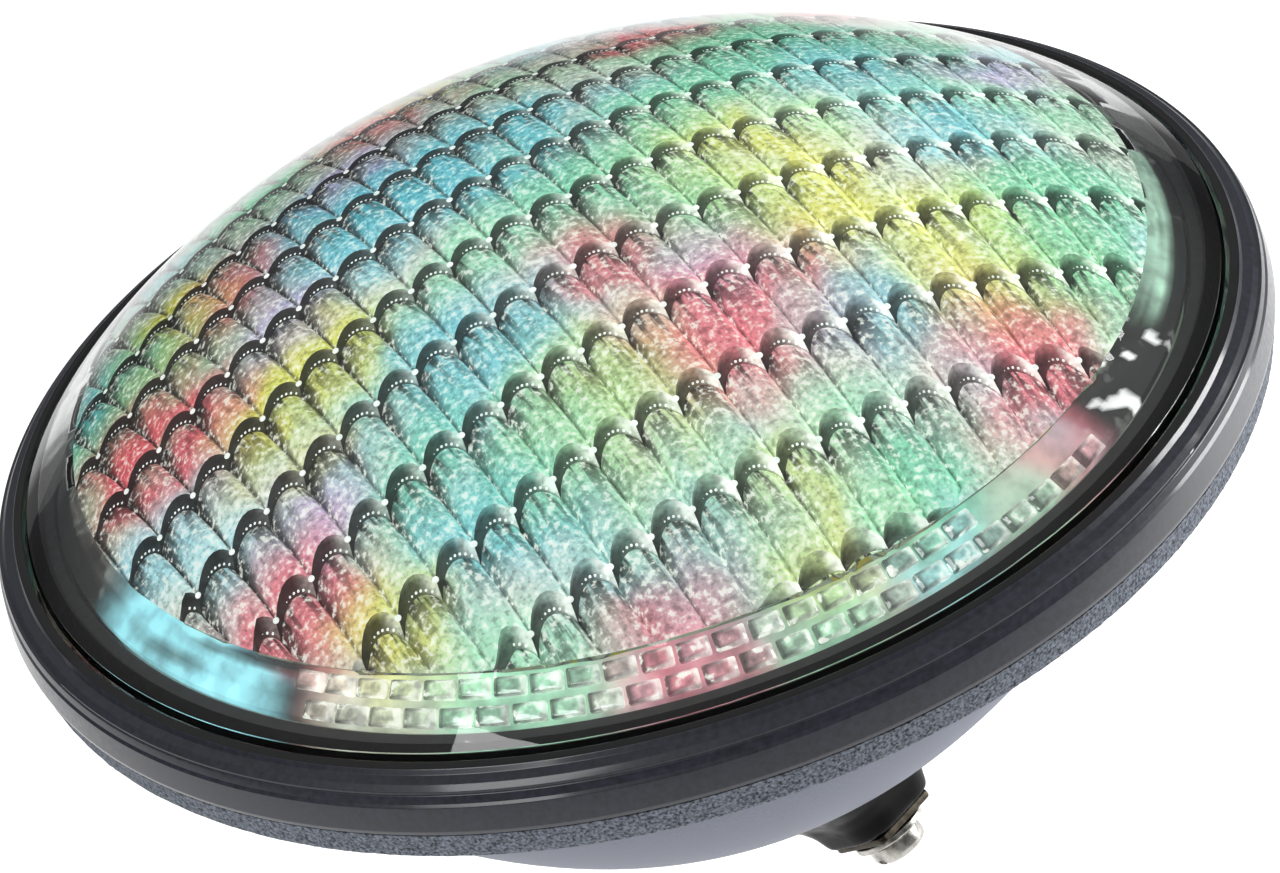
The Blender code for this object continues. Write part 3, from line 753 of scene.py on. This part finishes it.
def make_step_knurl():
    """A row of glass beads along the foot of every step, and a larger bead at each cusp."""
    bm = bmesh.new()
    first = math.floor((-FLUTE_FIELD_R - FLUTE_SHIFT_Y) / FLUTE_ROW)
    for row in range(first + 1, -first + 1):
        y = FLUTE_SHIFT_Y + row * FLUTE_ROW
        reach = math.sqrt(max(0.0, (FLUTE_FIELD_R - KNURL_MARGIN) ** 2 - y * y))
        if reach < 2 * FLUTE_W:
            continue
        for k in range(int(2 * reach / KNURL_PITCH)):
            x = -reach + (k + 0.5) * KNURL_PITCH
            part = cell_part(x)
            size = smooth_step(0.22, 0.55, part) * smooth_step(1.0, 0.9, part)
            if size < 0.2:
                continue
            by = y + scallop(x) - STEP_DRAFT * KNURL_RISE
            z = dome_point_z(flute_depth(x, KNURL_RISE) - KNURL_SINK, math.hypot(x, by))
            shape = Matrix.Diagonal((*[half * size for half in KNURL_SIZE], 1.0))
            bmesh.ops.create_icosphere(bm, subdivisions=1, radius=MM,
                                       matrix=Matrix.Translation((x, by, z)) @ shape)
        cell = math.ceil((-reach - FLUTE_SHIFT_X) / FLUTE_W)
        while FLUTE_SHIFT_X + cell * FLUTE_W < reach:
            x = FLUTE_SHIFT_X + cell * FLUTE_W
            z = dome_point_z(flute_depth(x, 0.0) - CUSP_SINK, math.hypot(x, y))
            bmesh.ops.create_icosphere(bm, subdivisions=2, radius=CUSP_BEAD_R,
                                       matrix=Matrix.Translation((x, y, z)))
            cell += 1
    make_piece("step_knurl", bm, [painted_knurl_highlight()], None, sharp=80)


# ---------------------------------------------------------------- coloured film

# Groups of coloured lamps behind the film: hue, then (x, y, radius) in millimetres
PATCHES = [
    ("#b95c67", [(27, 33, 8), (-10, 44, 8), (-42, 22, 8), (-63, 9, 9), (-58, 2, 8), (-3, -22, 7), (2, -40, 9),
                 (9, -37, 9), (34, -60, 10), (-22, -70, 8), (-63, -36, 8), (-56, -34, 6), (54, 33, 6)]),
    ("#b9b957", [(20, -11, 9), (-45, -11, 8), (-51, 27, 8), (-16, -38, 8), (-15, -52, 7), (37, -40, 9),
                 (-50, -47, 6), (-3, -66, 7), (24, -26, 8), (0, 50, 8), (-38, -8, 7)]),
    ("#63a7b2", [(-27, 18, 10), (-9, 9, 10), (49, -15, 7), (-31, -23, 9), (-22, -26, 9), (20, -46, 7),
                 (-24, -52, 8), (-12, -62, 9), (-37, -44, 7), (44, 5, 9), (10, 50, 8), (0, 14, 8),
                 (-60, 30, 7)]),
    ("#68ac8e", [(10, -22, 8), (-26, -40, 9), (-18, -44, 9), (56, -32, 9), (48, -42, 9), (12, -66, 8),
                 (2, -8, 8), (-55, 20, 7), (30, 10, 9), (40, 20, 9), (56, 10, 8), (18, 2, 8), (-38, -30, 7),
                 (-30, 50, 8)]),
    ("#a99dc0", [(-48, -27, 6), (6, -30, 5), (-40, 4, 6), (62, 0, 6), (-20, 28, 6)]),
]
PATCH_SPREAD, PATCH_FALL = 1.15, 2.4      # reach of a patch past its radius, and how fast it ends
PATCH_WANDER = 4.0 * MM                   # how far the edge of a patch strays
FILM_WHITE = "#adb4aa"


def film_colour(x, y):
    """Colour of the film at a point: soft patches over a pale white ground."""
    tint = noise.noise((x * 55, y * 55, 31.0))
    hue = "#7fbf9c" if tint > 0 else "#86bfcb"
    ground = Vector(linear(FILM_WHITE)[:3]).lerp(Vector(linear(hue)[:3]), min(0.7, 1.8 * abs(tint)))
    total, cover = Vector((0, 0, 0)), 0.0
    x += PATCH_WANDER * noise.noise((x * 160, y * 160, 1.0))
    y += PATCH_WANDER * noise.noise((x * 160, y * 160, 7.0))
    for hue, places in PATCHES:
        tone = Vector(linear(hue)[:3])
        for px, py, radius in places:
            d = math.hypot(x - px * MM, y - py * MM) / (radius * PATCH_SPREAD * MM)
            weight = math.exp(-d ** PATCH_FALL)
            total += tone * weight
            cover += weight
    if cover < 1e-6:
        return ground
    share = min(0.92, cover)
    pale = 0.35 * smooth_step(0.1, 0.5, noise.noise((x * 120, y * 120, 21.0)))
    return (ground * (1 - share) + total / cover * share).lerp(ground, pale)


def painted_light_side(x, y):
    """How lit the film is painted: 0 at its far left, 1 at its near right."""
    return smooth_step(-34 * MM, 46 * MM, x * 0.7 - y * 0.8)


def painted_step_colour(x, y, rise, film):
    """Colour of a step with painted light: a dark crescent of painted shade, thick at the left of each flute,
    and a pale corner at its right as a painted highlight.
    """
    part, light = cell_part(x), painted_light_side(x, y)
    if part < 0.004:
        part = 0.0
    thickness = 1.6 - 0.5 * light - (0.5 + 0.55 * light) * part
    # Painted shade: the dark crescent.
    dark = smooth_step(thickness + 0.25, thickness - 0.25, rise) * (1.0 - 0.6 * light * part)
    # Painted highlight: the pale corner.
    corner = light * smooth_step(0.66, 0.9, part) * smooth_step(0.05, 0.3, rise)
    colour = film * (0.8 * (1 - dark)) + film * (0.025 * dark)
    return colour.lerp(film * 0.3 + Vector((0.75, 0.77, 0.72)), corner)


def flute_shade(x, y, drop):
    """Painted shade along a flute: a dark wedge in its left groove, wider at the far end, more shade towards
    the far end on the less lit side, and a pale line by it as a painted highlight.
    """
    part, light = cell_part(x), painted_light_side(x, y)
    wedge = 0.03 + (0.36 - 0.26 * light) * drop ** 1.5
    dark = (1.0 - 0.45 * light) * math.exp(-(part / wedge) ** 2)
    dark += (0.6 - 0.45 * light) * math.exp(-((part - 1.0) / 0.05) ** 2)
    pale = 0.7 * light * math.exp(-((part - 0.95) / 0.025) ** 2)
    return (1 - min(0.98, dark)) * (1 - 0.3 * (1 - light) * drop ** 2) + pale


def make_colour_film():
    """Coloured layer bonded to the fluted face of the lens, and a plain film with square studs round it."""
    bm = bmesh.new()
    marks = fluted_sheet(bm, FILM_GAP)
    layer = bm.loops.layers.float_color.new("patch_colour_and_shading")
    for face in bm.faces:
        for loop in face.loops:
            x, y = loop.vert.co.x, loop.vert.co.y
            drop, rise = marks[loop.vert]
            # Painted shade: the film darkens towards the far side, and its colour grows stronger there.
            far = smooth_step(-15 * MM, 60 * MM, y - 0.25 * x)
            colour = film_colour(x, y) * (1 - 0.36 * far)
            grey = sum(colour) / 3 * Vector((1, 1, 1))
            colour = Vector([max(0.0, c) for c in grey.lerp(colour, 1 + 0.8 * far)])
            # Steps and flutes take painted shade and painted highlights on top of the film's colour.
            if face.material_index:
                colour = painted_step_colour(x, y, 1.0 if rise is None else rise, colour)
            else:
                colour = colour * flute_shade(x, y, drop)
            loop[layer] = (*colour, drop ** 1.2)
    bmesh.ops.recalc_face_normals(bm, faces=bm.faces)
    if sum(face.normal.z for face in bm.faces) < 0:
        bmesh.ops.reverse_faces(bm, faces=bm.faces)
    make_piece("colour_film", bm, [patch_film(), step_film()], "colour_diffuser", sharp=45)
    make_border_film()
    make_border_studs()


# Sectors of the border, in degrees from 0 to 360: start, full, fade, end. The cyan smear, the green band and
# the glints are painted light seen through the glass edge.
NEAR_SIDE = (212, 218, 295, 301)
PAINTED_CYAN_SMEAR = (181, 190, 207, 214)
PAINTED_GREEN_BAND = (312, 322, 346, 358)
PAINTED_GLINTS = (297, 300, 312, 316)


def sector(degrees, start, full, fade, end):
    """1 from full to fade, eased to 0 at start and at end."""
    return smooth_step(start, full, degrees) * smooth_step(end, fade, degrees)


def border_colour(r, angle):
    """The film outside the flutes: patches on the near side, a cyan smear and glints by them as painted
    light, else dark as painted shade.
    """
    degrees = math.degrees(angle) % 360
    plain = film_colour(r * math.cos(angle), r * math.sin(angle))
    inner = smooth_step(75.4 * MM, 73.4 * MM, r + 0.8 * MM * noise.noise((angle * 9, 2.0, 0.0)))
    out = r - 72 * MM
    streak = noise.noise((angle * 4.0, out * 900, 4.0))
    ripple = noise.noise((angle * 4.0, out * 480, 14.0))
    spark = noise.noise((angle * 24, out * 420, 9.0))
    # Painted shade: away from the near side the film is near black, with streaks.
    away = plain * (0.14 * inner + 0.008) * max(0.03, 1 + 2.2 * streak)
    cyan = Vector(linear("#8fd3dd")[:3]) * max(0.05, 1 + 2.0 * min(0.0, ripple + 0.05))
    away = away.lerp(cyan, sector(degrees, *PAINTED_CYAN_SMEAR))
    green = Vector(linear("#8fae9c")[:3]) * max(0.2, 0.9 + 1.2 * streak)
    away = away.lerp(green, sector(degrees, *PAINTED_GREEN_BAND) * smooth_step(76.2 * MM, 75.2 * MM, r))
    away = away.lerp(Vector((1, 1, 1)) * (0.95 if spark > 0.24 else 0.01), sector(degrees, *PAINTED_GLINTS))
    return away.lerp(plain, sector(degrees, *NEAR_SIDE))


def make_border_film():
    """Plain ring of the film outside the flutes."""
    count = 9
    top = [BORDER_BORE_R + (BORDER_R - BORDER_BORE_R) * k / count for k in range(count + 1)]
    top = [(r, dome_point_z(BORDER_DEPTH, r)) for r in top]
    low = [(r, z - BORDER_T) for r, z in (top[-1], top[0])]
    bm = turn(top + low, 480)
    layer = bm.loops.layers.float_color.new("patch_colour_and_shading")
    for face in bm.faces:
        for loop in face.loops:
            x, y = loop.vert.co.x, loop.vert.co.y
            loop[layer] = (*border_colour(math.hypot(x, y), math.atan2(y, x)), 1.0)
    make_piece("border_film", bm, [border_gloss()], None)


STUD_HALF_R = 1.2 * MM             # half size along a radius
STUD_CORNER_R = 0.25 * MM
STUD_LEVELS = ((-0.1, 1.0), (0.6, 1.0), (0.95, 0.8), (1.0, 0.5))      # height in millimetres, share of size
INNER_ROW_END = 283                # the inner row stops here, in degrees


def make_border_studs():
    """Square clear studs on the near side of the border film, in two rows."""
    bm = bmesh.new()
    layer = bm.loops.layers.float_color.new("patch_colour_and_shading")
    for row, r in enumerate(STUD_ROWS_R):
        for k in range(STUD_COUNT):
            a = math.tau * (k + 0.5 * row) / STUD_COUNT - math.pi
            degrees = math.degrees(a) % 360
            if sector(degrees, *NEAR_SIDE) < 0.4 or (row == 0 and degrees > INNER_ROW_END):
                continue
            half_w = math.pi * r / STUD_COUNT * 0.9
            slope = math.asin(r / (DOME_R - BORDER_DEPTH))
            place = (Matrix.Rotation(a, 4, 'Z') @ Matrix.Translation((r, 0, dome_point_z(BORDER_DEPTH, r)))
                     @ Matrix.Rotation(slope, 4, 'Y'))
            tone = 1 + 0.5 * noise.noise((k * 0.7, r * 900, 3.0))
            colour = film_colour(r * math.cos(a), r * math.sin(a)) * tone
            levels = []
            for lift, shrink in STUD_LEVELS:
                outline = rounded_rectangle(STUD_HALF_R * shrink, half_w * shrink, STUD_CORNER_R, 2)
                levels.append([bm.verts.new(place @ Vector((sx, sy, lift * MM))) for sx, sy in outline])
            faces = [bm.faces.new(levels[0][::-1]), bm.faces.new(levels[-1])]
            for low, high in zip(levels, levels[1:]):
                for i in range(len(low)):
                    faces.append(bm.faces.new((low[i - 1], low[i], high[i], high[i - 1])))
            # Painted light on the studs' sides: paler on the sides towards local +Y as a painted highlight, a
            # quarter of the colour on the others as painted shade.
            edge = colour.lerp(Vector((0.9, 0.9, 0.85)), 0.45)
            for face in faces:
                for loop in face.loops:
                    flat = loop.vert in levels[-1]
                    side = (place.inverted() @ loop.vert.co).y > 0
                    loop[layer] = (*(colour if flat else edge if side else colour * 0.25), 1.0)
    make_piece("border_studs", bm, [stud_glass()], None, sharp=30)


def make_shade_gasket():
    """Black ring between the border film and the bore of the lens: painted shade where the glass edge shows
    dark.
    """
    section = rounded([(77.6, 10.6, 0.3), (79.3, 10.2, 0.2), (79.3, 4.9, 0.2), (77.6, 4.9, 0.2)])
    make_piece("shade_gasket", turn(section, 180), [painted_shade_black()], None)


# ---------------------------------------------------------------- rim

RAISED_FROM, RAISED_TO = math.radians(-172.9), math.radians(-58.6)
RAISED_OUT, RAISED_UP = 0.15 * MM, 0.28 * MM
LIP_R = 85.3 * MM                  # the lip's gloss ends here
GRAIN_INNER_R = 87.5 * MM          # only the open face of the compound is grained


def make_bezel():
    """Spun black ring: glossy lip, thin ridge, satin side, and a raised segment on the near side."""
    section = rounded([(83.4, 11.5, 0.25), (84.1, 12.1, 0.25), (85.2, 11.75, 0.3), (85.6, 11.1, 0.2),
                       (86.8, 10.75, 0.4), (87.5, 10.1, 0.15), (87.9, 10.1, 0.2), (88.2, 9.0, 0.2),
                       (88.5, 8.6, 0.25), (89.0, 5.3, 0.3), (88.9, 4.7, 0.1), (86.3, 4.7, 0.0),
                       (86.3, 9.3, 0.0), (83.4, 10.5, 0.0)])

    def raised(r, z, angle):
        angle = angle - math.tau if angle > math.pi else angle
        on_slope = 84.6 * MM < r < 87.7 * MM and z > 9.5 * MM
        if on_slope and RAISED_FROM < angle < RAISED_TO:
            return r + RAISED_OUT, z + RAISED_UP
        return r, z

    bm = turn(section, 300, raised)
    for face in bm.faces:
        c = face.calc_center_median()
        face.material_index = 1 if math.hypot(c.x, c.y) < LIP_R else 0
    make_piece("enamelled_bezel", bm, [bezel_enamel(), lip_enamel()], "lens_bezel", sharp=50)


def make_seal_bead():
    """Granular sealing compound between the bezel and the bowl's flange."""
    side = [(88.75, 4.4), (88.7, 4.0), (88.6, 3.5), (88.5, 3.0), (88.4, 2.5), (88.35, 2.0), (88.25, 1.5),
            (88.15, 1.0), (88.05, 0.6), (87.8, 0.3)]
    section = in_metres(side + [(86.9, 0.2), (86.9, 2.1), (80.4, 2.1), (80.4, 4.4)])

    def grain(r, z, angle):
        if r < GRAIN_INNER_R:
            return r, z
        place = Vector((r * math.cos(angle), r * math.sin(angle), z)) / MM
        rough = noise.noise(place * 1.3) * 0.09 + noise.noise(place * 3.1) * 0.07
        return r + rough * MM, z

    make_piece("sealing_compound", turn(section, 720, grain), [seal_compound()], "seal_bead",
               sharp=60)


def make_bowl():
    """Spun steel bowl: painted outside, mirror bright inside."""
    rim = [(FLANGE_R, FLANGE_TOP_Z), (FLANGE_R, 0.2 * MM), (FLANGE_R - 0.2 * MM, 0.0)]
    r_at_flange = BOWL_OUT_R * (1 - BOWL_MOUTH_Z / BOWL_OUT_DEPTH) ** (1 / BOWL_POWER)
    outer = bowl_arc(BOWL_OUT_R, BOWL_OUT_DEPTH, r_at_flange, NECK_R, 44)
    inner = bowl_arc(BOWL_IN_R, BOWL_IN_DEPTH, NECK_R, BOWL_IN_R, 36)
    profile = rim + outer + inner + [(BOWL_IN_R, FLANGE_TOP_Z)]
    bm = turn(profile, 160)
    for face in bm.faces:
        c = face.calc_center_median()
        within = math.hypot(c.x, c.y) < BOWL_IN_R - 0.1 * MM
        face.material_index = 1 if within and face.normal.dot(Vector((c.x, c.y, 0))) < 0 else 0
    make_piece("painted_bowl", bm, [bowl_paint(), bright_dip()], "reflector_bowl", sharp=50)


# ---------------------------------------------------------------- terminals

def terminal_frame(side):
    """Place of one terminal: origin on the slanted face, +Z out along the screw, +X across it."""
    azimuth = TERMINAL_AZIMUTH + (math.pi if side == "b" else 0)
    outward = Vector((math.cos(azimuth), math.sin(azimuth), 0))
    across = Vector((-math.sin(azimuth), math.cos(azimuth), 0))
    axis = outward * math.sin(TERMINAL_TILT) - Vector((0, 0, 1)) * math.cos(TERMINAL_TILT)
    turned = Matrix((across, axis.cross(across), axis)).transposed().to_4x4()
    return Matrix.Translation(outward * TERMINAL_R + Vector((0, 0, TERMINAL_Z))) @ turned


def rounded_rectangle(half_x, half_y, corner, steps):
    """Points around a rounded rectangle, anticlockwise."""
    points = []
    for quadrant, (sx, sy) in enumerate(((1, 1), (-1, 1), (-1, -1), (1, -1))):
        for k in range(steps + 1):
            a = math.pi / 2 * (quadrant + k / steps)
            points.append((sx * (half_x - corner) + corner * math.cos(a),
                           sy * (half_y - corner) + corner * math.sin(a)))
    return points


def lofted(rings, ends=True):
    """A solid through rings of points. Without ends, the last ring joins the first."""
    bm = bmesh.new()
    rings = [[bm.verts.new(p) for p in ring] for ring in rings]
    pairs = list(zip(rings, rings[1:] if ends else rings[1:] + rings[:1]))
    for low, high in pairs:
        for k in range(len(low)):
            bm.faces.new((low[k - 1], low[k], high[k], high[k - 1]))
    if ends:
        bm.faces.new(rings[0][::-1])
        bm.faces.new(rings[-1])
    bmesh.ops.recalc_face_normals(bm, faces=bm.faces)
    return bm


def rough_solid(name, bm, place=None):
    """A working solid for a cut or a join."""
    solid = as_object(name, bm)
    solid.matrix_world = place or Matrix()
    return solid


def worked(solid, tools):
    """Apply modifiers to a working solid, as (kind, settings), and give back its mesh as a bmesh."""
    for kind, settings in tools:
        modifier = solid.modifiers.new(kind.lower(), kind)
        for key, value in settings.items():
            setattr(modifier, key, value)
    bpy.context.view_layer.update()
    shaped = solid.evaluated_get(bpy.context.evaluated_depsgraph_get())
    bm = bmesh.new()
    bm.from_mesh(shaped.data)
    bmesh.ops.transform(bm, matrix=solid.matrix_world, verts=bm.verts)
    for item in [solid] + [s["object"] for _, s in tools if "object" in s]:
        bpy.data.objects.remove(item)
    return bm


# Bridge, in millimetres
HUB = [(0, -45), (25, -45), (24.6, -50), (23.6, -55.5), (21.6, -60), (18.5, -64), (15.5, -66.4),
       (13.5, -67.2), (0, -67.2)]
BOSS = [(-20, 20, 14, 6), (-14, 18, 12.8, 6), (-9.5, 15.8, 11.4, 6), (-7.2, 12.2, 10, 5.8),
        (-5, 9.5, 8.8, 5.4), (-3, 8.4, 8, 5.2), (-0.8, 7.7, 7.5, 4.9), (-0.2, 7.5, 7.3, 4.7),
        (0, 7.1, 6.9, 4.4)]        # z, half width, half height, corner radius
PLUG_SPACE = [(0, -60.6), (14.6, -60.6), (14.6, -40), (0, -40)]
BUSH_SPACE = [(0, -7.5), (4.3, -7.5), (4.3, 2), (0, 2)]
CHANNEL = (47, 7, 10)
CHANNEL_Z = -59.2
BLEND = 0.4                        # grid that blends the bosses into the hub


def make_bridge():
    """Black moulding on the back of the bowl, with soft fillets between its hub and two bosses."""
    body = rough_solid("hub", turn(in_metres(HUB), 72))
    joins = []
    for side in "ab":
        rings = []
        for z, half_x, half_y, corner in BOSS:
            outline = rounded_rectangle(half_x * MM, half_y * MM, corner * MM, 7)
            rings.append([(x, y, z * MM) for x, y in outline])
        boss = rough_solid(f"boss_{side}", lofted(rings), terminal_frame(side))
        joins.append(("BOOLEAN", {"operation": 'UNION', "object": boss}))
    joins += [("REMESH", {"mode": 'VOXEL', "voxel_size": BLEND * MM}),
              ("SMOOTH", {"factor": 0.5, "iterations": 4})]
    blank = rough_solid("blank", worked(body, joins))
    arc = bowl_arc(BOWL_OUT_R, BOWL_OUT_DEPTH, 60 * MM, 3 * MM, 30)
    envelope = [(r + 0.3 * MM, z - 0.45 * MM) for r, z in arc]
    bowl_space = in_metres([(0, 10), (75, 10)]) + envelope + [(0, envelope[-1][1])]
    spaces = [rough_solid("bowl_space", turn(bowl_space, 96)),
              rough_solid("plug_space", turn(in_metres(PLUG_SPACE), 48))]
    channel = bmesh.new()
    bmesh.ops.create_cube(channel, size=1.0, matrix=Matrix.Diagonal((*[size * MM for size in CHANNEL], 1.0)))
    spaces.append(rough_solid("channel", channel, Matrix.Translation((0, 0, CHANNEL_Z * MM))
                              @ Matrix.Rotation(TERMINAL_AZIMUTH, 4, 'Z')))
    for side in "ab":
        bush = turn(in_metres(BUSH_SPACE), 48)
        spaces.append(rough_solid(f"bush_space_{side}", bush, terminal_frame(side)))
    cuts = [("BOOLEAN", {"operation": 'DIFFERENCE', "object": space}) for space in spaces]
    make_piece("moulded_bridge", worked(blank, cuts), [phenolic()], "terminal_bridge",
               sharp=35)


def make_contact_plate(side):
    """Plated plate with eased edges, and the threaded bush behind it."""
    def outline(z, inset):
        half = (PLATE_HALF - inset) * MM
        points = rounded_rectangle(half, half, 0.9 * MM, 11)
        return [(x, y, z * MM) for x, y in points]

    def circle(z, radius):
        ring = []
        for x, y, _ in outline(0, 0):
            a = math.atan2(y, x)
            ring.append((radius * MM * math.cos(a), radius * MM * math.sin(a), z * MM))
        return ring

    rings = [circle(1.5, 3.05), outline(1.5, 0.3), outline(1.42, 0.08), outline(1.25, 0), outline(0.55, 0),
             outline(0.38, 0.08), outline(0.3, 0.25), circle(0.3, 4.0), circle(-6.3, 4.0), circle(-6.5, 3.8),
             circle(-6.5, 2.8), circle(1.3, 2.8)]
    bm = lofted(rings, ends=False)
    bmesh.ops.transform(bm, matrix=terminal_frame(side), verts=bm.verts)
    make_piece(f"plated_contact_{side}", bm, [nickelled_brass()], f"contact_plate_{side}")


def make_washer(side):
    """Plain washer with eased edges, under the head of the screw."""
    section = rounded([(5.6, 2.8, 0.22), (5.6, 1.8, 0.22), (2.8, 1.8, 0.12), (2.8, 2.8, 0.12)])
    bm = turn(section, 72)
    bmesh.ops.transform(bm, matrix=terminal_frame(side), verts=bm.verts)
    make_piece(f"plated_washer_{side}", bm, [nickelled_steel()], f"clamp_washer_{side}",
               f"washer_{side}")


def make_terminal_screw(side):
    """Slotted screw with a real M5 thread and a crowned head."""
    head_low, head_top, tip = 3.1, 6.4, -4.9
    stations = 84
    shank_top = head_low - 0.25
    shank = [(2.5, shank_top - (shank_top - tip - 0.4) * k / stations) for k in range(stations + 1)]
    profile = [(0, head_top), (1.6, head_top - 0.05), (2.8, head_top - 0.2), (3.6, head_top - 0.5),
               (4.05, head_top - 0.9), (4.25, head_top - 1.4), (4.25, head_low + 0.25), (4.05, head_low),
               (2.6, head_low)] + shank + [(1.7, tip), (0, tip)]

    def thread(r, z, angle):
        if abs(r - SHANK_R) > 0.05 * MM:
            return r, z
        turn_part = z / THREAD_PITCH - angle / math.tau
        turn_part -= math.floor(turn_part)
        groove = 1 - abs(2 * turn_part - 1)
        fade = min(1.0, (head_low * MM - 0.5 * MM - z) / (0.6 * MM), (z - tip * MM) / (0.8 * MM))
        return r - THREAD_DEPTH * groove * max(0.0, fade), z

    blank = rough_solid("screw_blank", turn(in_metres(profile), 60, thread))
    slot_bm = bmesh.new()
    bmesh.ops.create_cube(slot_bm, size=1.0, matrix=Matrix.Diagonal((12 * MM, 1.3 * MM, 3.2 * MM, 1.0)))
    slot_space = rough_solid("slot_space", slot_bm, Matrix.Translation((0, 0, head_top * MM)))
    bm = worked(blank, [("BOOLEAN", {"operation": 'DIFFERENCE', "object": slot_space})])
    bmesh.ops.transform(bm, matrix=terminal_frame(side), verts=bm.verts)
    make_piece(f"slotted_screw_{side}", bm, [nickelled_steel()], f"terminal_screw_{side}",
               f"screw_{side}", sharp=35)


# ---------------------------------------------------------------- pieces kept from the frame

def dress(finish, *nodes):
    """Give frame nodes a finish."""
    material = finish()
    for node in nodes:
        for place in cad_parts[node].material_slots:
            place.material = material


def dress_inner_pieces():
    """Finishes of the pieces that the bowl holds."""
    dress(carrier_polycarbonate, "led_carrier")
    dress(brushed_aluminium, "heat_spreader")
    dress(strip_resist, *[f"led_strip_{k}" for k in range(1, 10)])
    dress(zinc_plate, *[f"spreader_screw_{k}" for k in (1, 2, 3)], *[f"board_nut_{k}" for k in (1, 2, 3)])
    dress(turned_brass, "pillar_1", "pillar_2", "pillar_3")
    dress(board_resist, "driver_board")
    dress(moulded_epoxy, "rectifier", "control_chip")
    dress(shrink_sleeve, "capacitor")
    dress(copper_winding, "coil")
    dress(cast_cement, "neck_plug")
    dress(red_silicone, "supply_lead_a", "led_lead_a")
    dress(black_silicone, "supply_lead_b", "led_lead_b")


set_camera()
set_studio()
make_lens()
make_step_knurl()
make_colour_film()
make_shade_gasket()
make_bezel()
make_seal_bead()
make_bowl()
make_bridge()
for side in "ab":
    make_contact_plate(side)
    make_washer(side)
    make_terminal_screw(side)
dress_inner_pieces()
